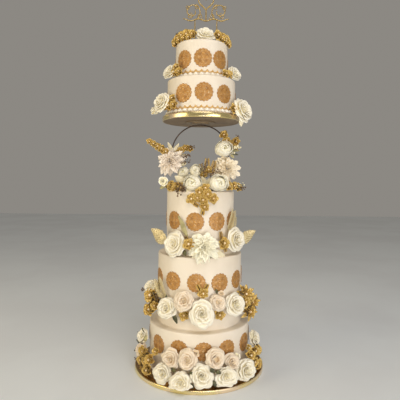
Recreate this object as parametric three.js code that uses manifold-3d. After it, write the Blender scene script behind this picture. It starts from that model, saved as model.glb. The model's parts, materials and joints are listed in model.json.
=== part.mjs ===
// A five-tier wedding cake on its board. A wire hoop carries the two upper tiers on a
// second board, and garlands of sugar flowers dress every level.
// Millimetres, +Z up. The origin is the middle of the base board's underside and the
// front of the cake faces -Y. Azimuths are in degrees from the front, positive to +X.
import * as THREE from "three";
import { mergeVertices } from "three/addons/utils/BufferGeometryUtils.js";
import Module from "manifold-3d";

const wasm = await Module();
wasm.setup();

// ---- driving dimensions ---------------------------------------------------------

const GAP = 0.3;                 // left between neighbouring pieces
const BASE_BOARD = { radius: 203, bottom: 0, top: 12 };
const UPPER_BOARD = { radius: 121, bottom: 769, top: 784 };
const TIER_SIDES = 26;
const BOARD_SIDES = 44;

const TIERS = {
  tier_1: {
    radius: 156, bottom: 12, top: 152, medallionHeight: 102.5,
    medallions: [-50.8, -21.7, 4.9, 31.1, 60.3, 93.5, 124, 154, 184, 214, 244, 266.5],
  },
  tier_2: {
    radius: 130.5, bottom: 152, top: 365, medallionHeight: 292,
    medallions: [-70, -37.3, -4.2, 27.1, 58.4, 91.5, 124.6, 157.7, 190.7, 223.8, 256.9],
  },
  tier_3: {
    radius: 105, bottom: 365, top: 555, medallionHeight: 467,
    medallions: [-48.1, -8.6, 28.8, 64.2, 102, 141, 180, 219, 260],
  },
  tier_4: {
    radius: 105, bottom: 784, top: 892, medallionHeight: 842, beads: 40,
    medallions: [-30.4, 4, 40.4, 102, 141, 180, 219, 258],
  },
  tier_5: {
    radius: 80, bottom: 892, top: 1002, medallionHeight: 946, beads: 30,
    medallions: [-41.7, 2.8, 44.3, 107, 156, 204, 253],
  },
};

const MEDALLION = { radius: 28, proud: 2.6, sides: 8 };
const BEAD = { depth: 8.5, valley: 3, height: 14.5 };

const LEAF_THICKNESS = 1.6;

const HOOP = { radius: 89, wire: 1.9, centre: 672, x: -2, sides: 6, steps: 24 };
const HOOP_FOOT = { radius: 42, thickness: 5, post: 6 };
const HOOP_TOP = { radius: 46, thickness: 2.2, boss: 27, bossThickness: 2.4 };

const TOPPER = {
  x: 12, bottom: 1002, foot: 1082, top: 1160, halfWidth: 71, stakeSpread: 34, thickness: 3, stroke: 5.5,
};

// ---- solids ---------------------------------------------------------------------

// Turns a closed geometry into a solid that can be cut and joined.
function solidOf(geometry) {
  const bare = geometry.clone();
  bare.deleteAttribute("normal");
  bare.deleteAttribute("uv");
  const merged = mergeVertices(bare, 1e-3);
  const corners = Array.from(merged.index.array);
  const whole = [];
  for (let i = 0; i < corners.length; i += 3) {
    const [a, b, c] = corners.slice(i, i + 3);
    if (a !== b && b !== c && c !== a) whole.push(a, b, c);
  }
  const vertProperties = new Float32Array(merged.attributes.position.array);
  return new wasm.Manifold(new wasm.Mesh({ numProp: 3, vertProperties, triVerts: new Uint32Array(whole) }));
}

function geometryOf(solid) {
  const mesh = solid.getMesh();
  const geometry = new THREE.BufferGeometry();
  geometry.setAttribute("position", new THREE.BufferAttribute(mesh.vertProperties, 3));
  geometry.setIndex(new THREE.BufferAttribute(mesh.triVerts, 1));
  return geometry;
}

// The largest body of a solid; cutting can leave loose scraps beside it.
function largestBody(solid) {
  const bodies = solid.decompose();
  return bodies.reduce((best, body) => (body.volume() > best.volume() ? body : best));
}

function joined(solids) {
  return solids.reduce((whole, solid) => whole.add(solid));
}

// A solid of revolution about +Z. `profile` is [radius, height] from the bottom of the
// axis to its top; `shape(radius, height, angle, index)` may move each point.
function turned(profile, sides, shape = null) {
  const lathe = new THREE.LatheGeometry(profile.map(([r, z]) => new THREE.Vector2(r, z)), sides);
  const position = lathe.attributes.position;
  if (shape) {
    for (let i = 0; i < position.count; i++) {
      const column = Math.floor(i / profile.length) % sides;
      const index = i % profile.length;
      const angle = (column * 2 * Math.PI) / sides;
      const [radius, height] = shape(profile[index][0], profile[index][1], angle, index);
      position.setXYZ(i, radius * Math.sin(angle), height, radius * Math.cos(angle));
    }
  }
  lathe.rotateX(Math.PI / 2);
  return lathe;
}

const radians = (angle) => (angle * Math.PI) / 180;
const degrees = (angle) => (angle * 180) / Math.PI;

// The point at an azimuth, a distance from the axis and a height.
function around(azimuth, distance, height) {
  const angle = radians(azimuth);
  return new THREE.Vector3(distance * Math.sin(angle), -distance * Math.cos(angle), height);
}

const UP = new THREE.Vector3(0, 0, 1);
const FRONT = new THREE.Vector3(0, -1, 0);

// The unit direction that looks outward at an azimuth and rises by `lift` degrees.
function outward(azimuth, lift = 0) {
  return around(azimuth, Math.cos(radians(lift)), Math.sin(radians(lift)));
}

// ---- materials ------------------------------------------------------------------

const finish = (color, roughness, metalness = 0) =>
  new THREE.MeshStandardMaterial({ color, roughness, metalness });
const ICING = finish(0xefe4d0, 0.6);
const GOLD_FOIL = finish(0xd9b562, 0.25, 0.9);
const WIRE = finish(0x4a3f38, 0.4, 0.8);
const WHITE_SUGAR = finish(0xf4efe2, 0.65);
const BLUSH_SUGAR = finish(0xf0dccb, 0.65);
const GOLD_SUGAR = finish(0xa88735, 0.4, 0.5);

// ---- structure ------------------------------------------------------------------

function board({ radius, bottom, top }) {
  return solidOf(turned([[0, bottom], [radius, bottom], [radius, top], [0, top]], BOARD_SIDES));
}

// A disc bent round a wall: its face stands `proud` of the wall and its back
// lies inside it.
function medallion(wallRadius, azimuth, height) {
  const { radius, proud, sides } = MEDALLION;
  const positions = [];
  for (const depth of [wallRadius + proud, wallRadius - 2]) {
    for (let i = 0; i < sides; i++) {
      const turn = (2 * Math.PI * i) / sides;
      const side = azimuth + degrees((radius * Math.cos(turn)) / wallRadius);
      positions.push(...around(side, depth, height + radius * Math.sin(turn)).toArray());
    }
  }
  const corners = [];
  const wrap = (i) => (i + sides) % sides;
  for (let i = 0; i < sides / 2; i++) {
    const [a, b, c, d] = [i, i + 1, wrap(-i - 1), wrap(-i)];
    if (c !== b) corners.push(a, b, c, sides + a, sides + c, sides + b);
    if (i > 0) corners.push(a, c, d, sides + a, sides + d, sides + c);
  }
  for (let i = 0; i < sides; i++) {
    const next = wrap(i + 1);
    corners.push(i, sides + i, sides + next, i, sides + next, next);
  }
  const geometry = new THREE.BufferGeometry();
  geometry.setAttribute("position", new THREE.Float32BufferAttribute(positions, 3));
  geometry.setIndex(corners);
  return solidOf(geometry);
}

// A row of half-round beads round a tier's foot, widest where they rest.
function beadRow(radius, bottom, beads) {
  const profile = [[0, bottom], [radius + BEAD.depth, bottom], [radius - 1, bottom + BEAD.height],
    [0, bottom + BEAD.height]];
  const row = turned(profile, 2 * beads, (r, z, angle, index) => {
    const crest = Math.round((angle * beads) / Math.PI) % 2 === 0;
    return [index === 1 && !crest ? radius + BEAD.valley : r, z];
  });
  return solidOf(row);
}

function tier({ radius, bottom, top, medallions, medallionHeight, beads }) {
  const foot = bottom + GAP;
  const profile = [[0, foot], [radius, foot], [radius, top], [0, top]];
  const solids = [solidOf(turned(profile, TIER_SIDES))];
  for (const azimuth of medallions) solids.push(medallion(radius, azimuth, medallionHeight));
  if (beads) solids.push(beadRow(radius, foot, beads));
  return joined(solids);
}

function hoopRing() {
  const ring = new THREE.TorusGeometry(HOOP.radius, HOOP.wire, HOOP.sides, HOOP.steps);
  ring.rotateX(Math.PI / 2);
  ring.translate(HOOP.x, 0, HOOP.centre);
  return solidOf(ring);
}

// A round plate on the third tier with a short post that the hoop stands on.
function hoopFoot() {
  const bottom = TIERS.tier_3.top + GAP;
  const plate = bottom + HOOP_FOOT.thickness;
  const post = HOOP.centre - HOOP.radius - HOOP.wire - GAP;
  const foot = turned([[0, bottom], [HOOP_FOOT.radius, bottom], [HOOP_FOOT.radius, plate],
    [HOOP_FOOT.post, plate], [HOOP_FOOT.post, post], [0, post]], 12);
  foot.translate(HOOP.x, 0, 0);
  return solidOf(foot);
}

// A small boss and a wider plate between the hoop and the upper board.
function hoopTop() {
  const top = UPPER_BOARD.bottom - GAP;
  const plate = top - HOOP_TOP.thickness;
  const boss = plate - HOOP_TOP.bossThickness;
  const cap = turned([[0, boss], [HOOP_TOP.boss, boss], [HOOP_TOP.boss, plate], [HOOP_TOP.radius, plate],
    [HOOP_TOP.radius, top], [0, top]], 16);
  cap.translate(HOOP.x, 0, 0);
  return solidOf(cap);
}

// ---- topper ---------------------------------------------------------------------

// A flat ribbon of even width along a curve in the X-Z plane.
function ribbon(points, width) {
  const left = [];
  const right = [];
  points.forEach((point, i) => {
    const before = points[Math.max(i - 1, 0)];
    const after = points[Math.min(i + 1, points.length - 1)];
    const along = after.clone().sub(before).normalize();
    const across = new THREE.Vector2(-along.y, along.x).multiplyScalar(width / 2);
    left.push(point.clone().add(across));
    right.unshift(point.clone().sub(across));
  });
  const shape = new THREE.Shape([...left, ...right]);
  const strip = new THREE.ExtrudeGeometry(shape, { depth: TOPPER.thickness, bevelEnabled: false });
  strip.rotateX(Math.PI / 2);
  strip.translate(TOPPER.x, TOPPER.thickness / 2, 0);
  return solidOf(strip);
}

// A spiral from its outer end inward: `turns` of a circle whose radius shrinks.
function scroll(x, z, radius, start, turns, steps = 8) {
  const points = [];
  for (let i = 0; i <= steps; i++) {
    const angle = radians(start + (360 * turns * i) / steps);
    const reach = radius * (1 - 0.62 * (i / steps));
    points.push(new THREE.Vector2(x + reach * Math.cos(angle), z + reach * Math.sin(angle)));
  }
  return points;
}

// One half of a heart, from its dip to its point; `side` is -1 or 1.
function heartHalf(size, z, side, steps = 6) {
  const points = [];
  for (let i = 0; i <= steps; i++) {
    const t = (Math.PI * i) / steps;
    const x = 16 * Math.sin(t) ** 3;
    const y = 13 * Math.cos(t) - 5 * Math.cos(2 * t) - 2 * Math.cos(3 * t) - Math.cos(4 * t);
    points.push(new THREE.Vector2((side * size * x) / 32, z + (size * y) / 32));
  }
  return points;
}

// Two stakes, a waved rail, a heart on a stem and paired scrolls, all in one flat sheet.
function topper() {
  const { bottom, foot, top, stroke, stakeSpread, halfWidth } = TOPPER;
  const at = (x, z) => new THREE.Vector2(x, z);
  const heartSize = 46;
  const heartMiddle = top - 22;
  const rail = [];
  for (let i = -3; i <= 3; i++) rail.push(at((halfWidth * i) / 3, foot + (i % 2 ? 6 : 0)));
  const solids = [ribbon(rail, stroke), ribbon([at(0, foot), at(0, heartMiddle - 0.45 * heartSize)], stroke)];
  for (const side of [-1, 1]) {
    const mirrored = (points) => points.map((point) => at(side * point.x, point.y));
    solids.push(ribbon(mirrored([at(stakeSpread, bottom + GAP), at(stakeSpread, foot + 2)]), 0.8 * stroke));
    solids.push(ribbon(heartHalf(heartSize, heartMiddle, side), stroke));
    solids.push(ribbon(mirrored(scroll(42, foot + 28, 27, -100, -1.3)), 0.8 * stroke));
  }
  return joined(solids);
}

// ---- flowers --------------------------------------------------------------------
// Each flower is modelled looking along +Z at a radius of one: rows of
// [radius, height, ruffle, phase] run from the back of the flower to its middle, and
// every second point of a row is a petal's middle or the notch between two petals.

const ROSE = {
  sides: 10,
  rows: [[0, -0.75, 0, 0], [0.66, -0.32, 0, 0], [1, 0.24, 0.09, 0], [0.64, 0.2, 0, 0], [0.5, 0.6, 0.1, 1],
    [0, 0.4, 0, 0]],
};
const SMALL_ROSE = {
  sides: 8,
  rows: [[0, -0.7, 0, 0], [0.66, -0.3, 0, 0], [1, 0.25, 0.08, 0], [0.55, 0.3, 0, 0], [0.38, 0.62, 0.1, 1],
    [0, 0.5, 0, 0]],
};
const BUD = { sides: 8, rows: [[0, -0.7, 0, 0], [0.8, -0.2, 0, 0], [0.95, 0.35, 0.06, 0], [0, 0.65, 0, 0]] };
const DAHLIA = {
  sides: 16,
  rows: [[0, -0.5, 0, 0], [0.5, -0.28, 0, 0], [1, 0.05, 0.14, 0], [0.6, 0.12, 0, 0], [0.62, 0.34, 0.12, 1],
    [0.3, 0.3, 0, 0], [0, 0.48, 0, 0]],
};
const GOLD_FLOWER = {
  sides: 10,
  rows: [[0, -0.5, 0, 0], [0.86, 0.1, 0.16, 0], [0, 0.42, 0, 0]],
};

// Every flower of the cake, with the node that it belongs to.
const blooms = [];
const leaves = [];

// A flower round the cake: `options` says what it leans on and how it is turned.
function bloom(node, form, azimuth, distance, height, radius, options = {}) {
  const { lift = 18, face = azimuth, ...seat } = options;
  const centre = around(azimuth, distance, height);
  blooms.push({ node, form, centre, radius, azimuth, facing: outward(face, lift), seat });
}

// A flower on the hoop, at a place in front of its ring.
function hoopBloom(node, form, x, y, z, radius, options = {}) {
  const { lift = 12, turn = 0, ...seat } = options;
  const centre = new THREE.Vector3(x, y, z);
  blooms.push({ node, form, centre, radius, azimuth: turn, facing: outward(turn, lift), seat });
}

function bloomSolid({ form, centre, radius, facing }) {
  const profile = form.rows.map(([r, z]) => [r * radius, z * radius]);
  const geometry = turned(profile, form.sides, (r, z, angle, index) => {
    const [, , ruffle, phase] = form.rows[index];
    return [r * (1 + ruffle * Math.cos((form.sides / 2) * angle + Math.PI * phase)), z];
  });
  const look = new THREE.Quaternion().setFromUnitVectors(UP, facing);
  geometry.applyQuaternion(look);
  geometry.translate(centre.x, centre.y, centre.z);
  return solidOf(geometry);
}

const keepBeyond = (solid, normal, offset) => solid.trimByPlane(normal.toArray(), offset);

// Cuts a flower back to the plane where its sphere would meet its neighbour's.
function clearOf(solid, self, other) {
  const towards = other.centre.clone().sub(self.centre);
  const distance = towards.length();
  if (distance > self.radius + other.radius + GAP) return solid;
  const reach = (distance ** 2 + self.radius ** 2 - other.radius ** 2) / (2 * distance);
  towards.normalize();
  const limit = self.centre.dot(towards) + reach - GAP / 2;
  return keepBeyond(solid, towards.negate(), -limit);
}

// How far from the axis a flower starts: off the wall, a medallion or the bead row.
function wallLimit(wall, { centre, radius, azimuth }) {
  const reach = MEDALLION.radius + radius * 1.1;
  const onMedallion = wall.medallions.some((middle) => {
    const sideways = radians(azimuth - middle) * wall.radius;
    return Math.hypot(sideways, centre.z - wall.medallionHeight) < reach;
  });
  const onBeads = wall.beads && centre.z - radius < wall.bottom + BEAD.height + 2 * GAP;
  if (onBeads) return wall.radius + BEAD.depth + GAP;
  return wall.radius + GAP + (onMedallion ? MEDALLION.proud : 0);
}

// A plain drum a little larger than a tier or board, to cut a flower that hangs over it.
function drum({ radius, bottom, top }) {
  const [low, high, reach] = [bottom - GAP, top + GAP, radius + 2 * GAP];
  const profile = [[0, low], [reach, low], [reach, high], [0, high]];
  return solidOf(turned(profile, TIER_SIDES));
}

// Fits a flower to what it leans on and to the flowers of the other nodes.
function fitted(self) {
  const { wall, ledge, over, front } = self.seat;
  let solid = bloomSolid(self);
  if (wall) solid = keepBeyond(solid, outward(self.azimuth), wallLimit(wall, self));
  if (ledge) solid = keepBeyond(solid, UP, ledge + GAP);
  if (over) solid = solid.subtract(drum(over));
  if (front) solid = keepBeyond(solid, FRONT, HOOP.wire + GAP);
  for (const other of blooms) {
    if (other.node !== self.node) solid = clearOf(solid, self, other);
  }
  return solid;
}

// A pointed leaf, thin and gently waved, from `root` to `tip`, its face towards `face`.
function leaf(root, tip, width, face, steps = 4) {
  const along = tip.clone().sub(root);
  const across = along.clone().cross(face).normalize();
  const normal = across.clone().cross(along).normalize();
  const rows = [];
  for (let i = 0; i <= steps; i++) {
    const t = i / steps;
    const half = (width / 2) * Math.sin(Math.PI * (0.08 + 0.88 * t)) ** 0.8;
    const wave = 0.05 * along.length() * Math.sin(2 * Math.PI * t);
    const middle = root.clone().addScaledVector(along, t).addScaledVector(normal, wave);
    const edge = (side) =>
      middle.clone().addScaledVector(across, side * half).addScaledVector(normal, 0.1 * half);
    const ridge = (side) => middle.clone().addScaledVector(normal, side * LEAF_THICKNESS / 2);
    rows.push(edge(-1), ridge(1), edge(1), ridge(-1));
  }
  const corners = [];
  for (let i = 0; i < steps; i++) {
    for (let k = 0; k < 4; k++) {
      const [a, b] = [4 * i + k, 4 * i + ((k + 1) % 4)];
      corners.push(a, b, b + 4, a, b + 4, a + 4);
    }
  }
  const end = 4 * steps;
  corners.push(0, 3, 1, 1, 3, 2, end, end + 1, end + 3, end + 1, end + 2, end + 3);
  const geometry = new THREE.BufferGeometry();
  geometry.setAttribute("position", new THREE.Float32BufferAttribute(rows.flatMap((p) => p.toArray()), 3));
  geometry.setIndex(corners);
  return solidOf(geometry);
}

// A leaf of a node, its face turned to an azimuth.
function addLeaf(node, root, tip, width, face) {
  leaves.push({ node, solid: leaf(root, tip, width, outward(face)) });
}

// ---- garlands -------------------------------------------------------------------

// A row of gold flowers from [azimuth, distance, height, radius], turned half way to the front.
function goldRow(node, places, seat) {
  for (const [azimuth, distance, height, radius] of places) {
    bloom(node, GOLD_FLOWER, azimuth, distance, height, radius, { lift: 12, face: azimuth / 2, ...seat });
  }
}

function crownGarland() {
  const top = TIERS.tier_5.top;
  const seat = { ledge: top };
  bloom("crown_rose", ROSE, 13, 52, top + 20, 29, { ...seat, lift: 32 });
  goldRow("crown_gold_left", [[-82, 82, top + 13, 15], [-70, 78, top + 18, 17], [-57, 73, top + 21, 17],
    [-43, 68, top + 22, 17], [-28, 64, top + 20, 16]], seat);
  goldRow("crown_gold_right", [[46, 68, top + 21, 16], [58, 73, top + 19, 16], [70, 78, top + 16, 16],
    [83, 82, top + 12, 14]], seat);
  bloom("crown_posy_back", SMALL_ROSE, 180, 50, top + 17, 24, { ...seat, lift: 40 });
  for (const azimuth of [150, 210]) {
    bloom("crown_posy_back", GOLD_FLOWER, azimuth, 56, top + 14, 14, { ...seat, lift: 40 });
  }
}

// The foot of the top tier.
function fifthTierGarland() {
  const wall = TIERS.tier_5;
  const seat = { wall, ledge: wall.bottom };
  bloom("t5_flowers_left", SMALL_ROSE, -67.8, 105, 914, 25, { ...seat, lift: 25, face: -48 });
  goldRow("t5_flowers_left", [[-55, 98, 909, 16], [-44, 97, 909, 15]], seat);
  bloom("t5_flowers_right", SMALL_ROSE, 73, 106, 911, 26, { ...seat, face: 48 });
  goldRow("t5_flowers_right", [[49, 97, 905, 14], [58, 98, 907, 15]], seat);
  backPosy("t5_posy_back", wall, 2, 21, 13);
}

// The foot of the fourth tier; its outer flowers hang over the upper board's rim.
function fourthTierGarland() {
  const wall = TIERS.tier_4;
  const seat = { wall, over: UPPER_BOARD };
  bloom("t4_flowers_left", BUD, -74, 146, 798, 17, { ...seat, face: -50 });
  bloom("t4_flowers_left", ROSE, -61.9, 134, 818, 32, { ...seat, face: -42 });
  goldRow("t4_flowers_left", [[-50, 126, 806, 16], [-42, 122, 808, 15]], seat);
  bloom("t4_flowers_right", ROSE, 66, 138, 800, 35, { ...seat, face: 44 });
  goldRow("t4_flowers_right", [[52.5, 124, 801, 16]], seat);
  backPosy("t4_posy_back", wall, 2, 25, 15);
}

// Flowers wired to the hoop and bedded on the third tier round its foot.
function hoopGarland() {
  const onRing = { front: true };
  const onTier = { front: true, ledge: TIERS.tier_3.top };
  hoopBloom("hoop_dahlia_left", DAHLIA, -95, -22, 647, 44, { ...onRing, turn: -20 });
  for (const [x, z, radius] of [[-66, 679, 14], [-49, 688, 14], [-33, 686, 12]]) {
    hoopBloom("hoop_dahlia_left", GOLD_FLOWER, x, -15, z, radius, onRing);
  }
  hoopBloom("hoop_dahlia_right", DAHLIA, 80, -22, 624, 44, { ...onRing, turn: 15 });
  hoopBloom("hoop_flowers_top", ROSE, 71, -21, 684, 27.5, { ...onRing, turn: 15 });
  for (const [x, z, radius] of [[71, 730, 14], [80, 713, 14], [95, 701, 14], [109, 710, 14],
    [106, 694, 14]]) {
    hoopBloom("hoop_flowers_top", GOLD_FLOWER, x, -15, z, radius, onRing);
  }
  for (const [x, z, radius] of [[-159, 707, 10], [-147, 700, 12], [-134, 692, 13], [-121, 684, 14],
    [-108, 676, 14]]) {
    hoopBloom("hoop_spray_left", GOLD_FLOWER, x, -22, z, radius, onRing);
  }
  hoopBloom("hoop_rose_right", ROSE, 54, -75, 579, 28, { ...onTier, turn: 15 });
  hoopBloom("hoop_rose_left", SMALL_ROSE, -22, -75, 580, 28, { ...onTier, turn: -8 });
  hoopBloom("hoop_roses_middle", SMALL_ROSE, -54, -28, 611, 20, onRing);
  hoopBloom("hoop_roses_middle", SMALL_ROSE, -16, -28, 616, 20, onRing);
  hoopBloom("hoop_roses_middle", SMALL_ROSE, -38, -32, 588, 24, onTier);
  for (const [x, z] of [[9, 606], [25, 621]]) {
    hoopBloom("hoop_roses_middle", GOLD_FLOWER, x, -34, z, 16, onRing);
  }
  hoopBloom("hoop_flowers_low_left", BUD, -111, -38, 584, 18, onTier);
  for (const [x, y, z] of [[-93, -49, 571], [-75, -62, 569], [-58, -74, 566]]) {
    hoopBloom("hoop_flowers_low_left", GOLD_FLOWER, x, y, z, 17, { ...onTier, turn: -30 });
  }
  for (const [x, y, z] of [[88, -57, 571], [102, -49, 572], [117, -42, 568]]) {
    hoopBloom("hoop_spray_right", GOLD_FLOWER, x, y, z, 15, { ...onTier, turn: 25 });
  }
}

// Gold flowers that fall from the hoop's foot down the front of the third tier.
function cascade() {
  const seat = { wall: TIERS.tier_3, lift: 5 };
  goldRow("cascade", [[-13.5, 112, 534, 16], [-4.5, 112, 537, 15], [4, 112, 531, 16], [11, 112, 548, 16],
    [20, 112, 535, 16], [6.4, 112, 511, 15]], seat);
}

function thirdTierGarland() {
  const wall = TIERS.tier_3;
  const seat = { wall, over: TIERS.tier_2 };
  bloom("t3_rose_left", ROSE, -36.1, 128, 401, 35, { ...seat, lift: 14, face: -33 });
  bloom("t3_dahlia", DAHLIA, 5.4, 128, 394, 45, { ...seat, lift: 0 });
  goldRow("t3_dahlia", [[-14, 124, 403, 17]], seat);
  goldRow("t3_gold_right", [[35, 121, 405, 18]], seat);
  bloom("t3_rose_right", ROSE, 55.3, 129, 411, 37, { ...seat, lift: 10, face: 38 });
  addLeaf("t3_rose_left", around(-50, 132, 402), around(-68, 160, 440), 42, -25);
  addLeaf("t3_rose_left", around(-26, 124, 412), around(-34, 115, 485), 15, -30);
  addLeaf("t3_rose_right", around(62, 135, 402), around(74, 176, 436), 38, 25);
  addLeaf("t3_rose_right", around(50, 126, 428), around(60, 116, 500), 22, 45);
  backPosy("t3_posy_back", wall, 2, 28, 17);
}

function secondTierGarland() {
  const wall = TIERS.tier_2;
  const seat = { wall };
  bloom("t2_flowers_left", SMALL_ROSE, -67, 147, 214, 27, seat);
  bloom("t2_flowers_left", SMALL_ROSE, -77, 158, 254, 24, { ...seat, lift: 30, face: -48 });
  goldRow("t2_flowers_left", [[-70, 157, 234, 19], [-72, 159, 190, 19]], seat);
  addLeaf("t2_flowers_left", around(-58, 149, 222), around(-57, 148, 292), 24, -25);
  bloom("t2_rose_1", ROSE, -40.2, 151, 214.6, 32, { ...seat, face: -24 });
  bloom("t2_rose_2", ROSE, -17, 150, 245, 31, { ...seat, face: -10 });
  bloom("t2_rose_3", ROSE, 2.5, 156, 211, 39, { ...seat, lift: 12 });
  bloom("t2_rose_4", SMALL_ROSE, 20.4, 148, 238, 27, { ...seat, face: 14 });
  bloom("t2_rose_4", BUD, 25, 144, 262, 14, { ...seat, face: 14 });
  bloom("t2_rose_5", ROSE, 42.8, 152, 225.8, 35, { ...seat, face: 30 });
  goldRow("t2_gold_1", [[-18.3, 140, 199, 16]], seat);
  goldRow("t2_gold_2", [[4.4, 141, 265, 16]], seat);
  goldRow("t2_gold_3", [[25, 140, 199, 16]], seat);
  bloom("t2_gold_right", SMALL_ROSE, 68, 152, 220, 28, seat);
  goldRow("t2_gold_right", [[64, 152, 246, 24], [75, 167, 214, 24], [70, 162, 190, 21]], seat);
  backPosy("t2_posy_back", wall, 2, 31, 19);
}

// Two rows of roses across the front of the board, with gold clusters at both ends.
function baseGarland() {
  const wall = TIERS.tier_1;
  const seat = { wall, ledge: BASE_BOARD.top };
  const upperRow = [[-26.5, 177, 86, 29, -20], [-10.8, 178, 86, 31, -11], [15.6, 178, 89, 32, 16],
    [31, 176, 72, 28, 24]];
  const lowerRow = [[-33, 190, 44, 31, -25], [-15.6, 193, 37, 37, -16], [2.3, 190, 48, 35, 2],
    [23.8, 190, 42, 36, 18], [46, 189, 44, 35, 32]];
  for (const [name, row] of [["upper", upperRow], ["lower", lowerRow]]) {
    row.forEach(([azimuth, distance, height, radius, face], i) => {
      const form = radius < 30 ? SMALL_ROSE : ROSE;
      bloom(`base_rose_${name}_${i + 1}`, form, azimuth, distance, height, radius, { ...seat, face });
    });
  }
  bloom("base_rose_upper_2", BUD, -3, 172, 104, 14, seat);
  bloom("base_rose_lower_5", BUD, 39, 172, 79, 16, seat);
  bloom("base_flowers_left", SMALL_ROSE, -61, 181, 46, 29, seat);
  bloom("base_flowers_left", BUD, -79, 179, 99, 22, { ...seat, face: -45 });
  bloom("base_flowers_left", SMALL_ROSE, -73.5, 184, 66, 22, { ...seat, face: -45 });
  goldRow("base_flowers_left", [[-63, 189, 74, 18], [-51, 188, 62, 18], [-54, 190, 28, 18]], seat);
  bloom("base_flowers_right", SMALL_ROSE, 68, 178, 50, 28, seat);
  bloom("base_flowers_right", SMALL_ROSE, 80, 179, 96, 24, { ...seat, face: 52 });
  goldRow("base_flowers_right", [[56, 186, 72, 18], [65, 188, 76, 18], [75, 188, 66, 18], [72, 190, 28, 18]],
    seat);
  backPosy("base_posy_back", wall, 2, 34, 20);
}

// Roses side by side against the back of a tier, the middle one the largest, with a gold
// flower at each end.
function backPosy(node, wall, roses, rose, gold) {
  const seat = { wall, ledge: wall.bottom };
  const depth = wall.radius + (wall.beads ? BEAD.depth : 0);
  const step = degrees((1.45 * rose) / (depth + 0.7 * rose));
  const first = -(roses - 1) / 2;
  for (let i = 0; i < roses; i++) {
    const radius = first + i === 0 || i === 1 ? rose : 0.8 * rose;
    bloom(node, SMALL_ROSE, 180 + (first + i) * step, depth + 0.7 * rose, wall.bottom + radius, radius, seat);
  }
  for (const end of [first - 0.6, -first + 0.6]) {
    bloom(node, GOLD_FLOWER, 180 + end * step, depth + gold, wall.bottom + gold, gold, seat);
  }
}

// ---- assembly -------------------------------------------------------------------

const cake = new THREE.Group();

function place(name, solid, material) {
  const mesh = new THREE.Mesh(geometryOf(solid), material);
  mesh.name = name;
  cake.add(mesh);
}

place("base_board", board(BASE_BOARD), GOLD_FOIL);
place("upper_board", board(UPPER_BOARD), GOLD_FOIL);
for (const [name, sizes] of Object.entries(TIERS)) place(name, tier(sizes), ICING);
place("hoop_foot", hoopFoot(), WIRE);
place("hoop_ring", hoopRing(), WIRE);
place("hoop_top", hoopTop(), WIRE);
place("topper", topper(), GOLD_SUGAR);

crownGarland();
fifthTierGarland();
fourthTierGarland();
hoopGarland();
cascade();
thirdTierGarland();
secondTierGarland();
baseGarland();

const BLUSH_NODES = ["t2_rose_2", "t2_rose_4", "hoop_dahlia_left", "hoop_dahlia_right"];

// The sugar of a flower node: gold, blush for the pink roses and dahlias, else white.
function sugarOf(name, form) {
  if (form === GOLD_FLOWER) return GOLD_SUGAR;
  if (name.startsWith("base_rose_upper") || BLUSH_NODES.includes(name)) return BLUSH_SUGAR;
  return WHITE_SUGAR;
}

const flowerNodes = new Map();
for (const flower of blooms) {
  if (!flowerNodes.has(flower.node)) flowerNodes.set(flower.node, []);
  flowerNodes.get(flower.node).push(flower);
}
for (const [name, flowers] of flowerNodes) {
  const green = leaves.filter((one) => one.node === name).map((one) => one.solid);
  const solid = largestBody(joined([...flowers.map(fitted), ...green]));
  place(name, solid, sugarOf(name, flowers[0].form));
}

export default cake;
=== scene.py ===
"""A five-tier wedding cake, dressed: icing, sugar-lace medallions, pearl borders, a wire
hoop, a glitter topper and garlands of roses, dahlias, gold flowers, leaves and berries.

Sizes are millimetres until a mesh is made. +Z is up, the front faces -Y, and azimuths are
degrees from the front, positive to +X.
"""

import json
import logging
import math
from collections.abc import Callable, Sequence
from dataclasses import dataclass
from enum import Enum
from functools import lru_cache
from typing import ClassVar

import bmesh
import bpy
import numpy as np
from bpy.types import Collection, Material, Mesh, Node, NodeSocket, NodeTree, Object
from mathutils import Euler, Matrix, Quaternion, Vector

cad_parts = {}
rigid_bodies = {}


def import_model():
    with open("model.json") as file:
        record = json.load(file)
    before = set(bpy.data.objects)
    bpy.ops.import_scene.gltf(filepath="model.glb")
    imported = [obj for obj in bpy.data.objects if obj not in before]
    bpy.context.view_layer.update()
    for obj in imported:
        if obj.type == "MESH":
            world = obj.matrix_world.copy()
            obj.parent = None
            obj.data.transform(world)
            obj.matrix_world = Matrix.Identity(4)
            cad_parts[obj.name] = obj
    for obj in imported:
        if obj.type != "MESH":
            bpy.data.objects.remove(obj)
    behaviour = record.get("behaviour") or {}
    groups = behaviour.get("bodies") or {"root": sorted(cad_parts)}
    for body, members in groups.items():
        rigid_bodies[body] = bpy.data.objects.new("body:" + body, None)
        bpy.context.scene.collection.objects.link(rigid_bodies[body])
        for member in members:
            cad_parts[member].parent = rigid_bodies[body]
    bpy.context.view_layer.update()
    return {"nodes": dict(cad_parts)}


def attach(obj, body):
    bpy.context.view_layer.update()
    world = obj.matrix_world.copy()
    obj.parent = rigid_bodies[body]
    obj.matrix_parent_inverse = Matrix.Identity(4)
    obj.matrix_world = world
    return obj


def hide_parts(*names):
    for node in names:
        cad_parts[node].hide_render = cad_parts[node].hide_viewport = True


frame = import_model()

LOG = logging.getLogger("wedding_cake")
MM = 0.001
Triple = tuple[float, float, float]
Placing = tuple[float, float, float, float]


class Slot(Enum):
    """The record's material slots."""

    ICING = "icing"
    FOIL = "board_foil"
    WIRE = "hoop_wire"
    TOPPER = "topper_gold"
    GOLD = "gold_flowers"
    WHITE = "white_petals"
    BLUSH = "blush_petals"
    MEDALLION = "medallion_gold"
    PEARL = "pearl"
    LEAF_GOLD = "leaf_gold"
    LEAF_OLIVE = "leaf_olive"
    BERRIES = "berries"


# ---- places and small sums ------------------------------------------------------


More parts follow.
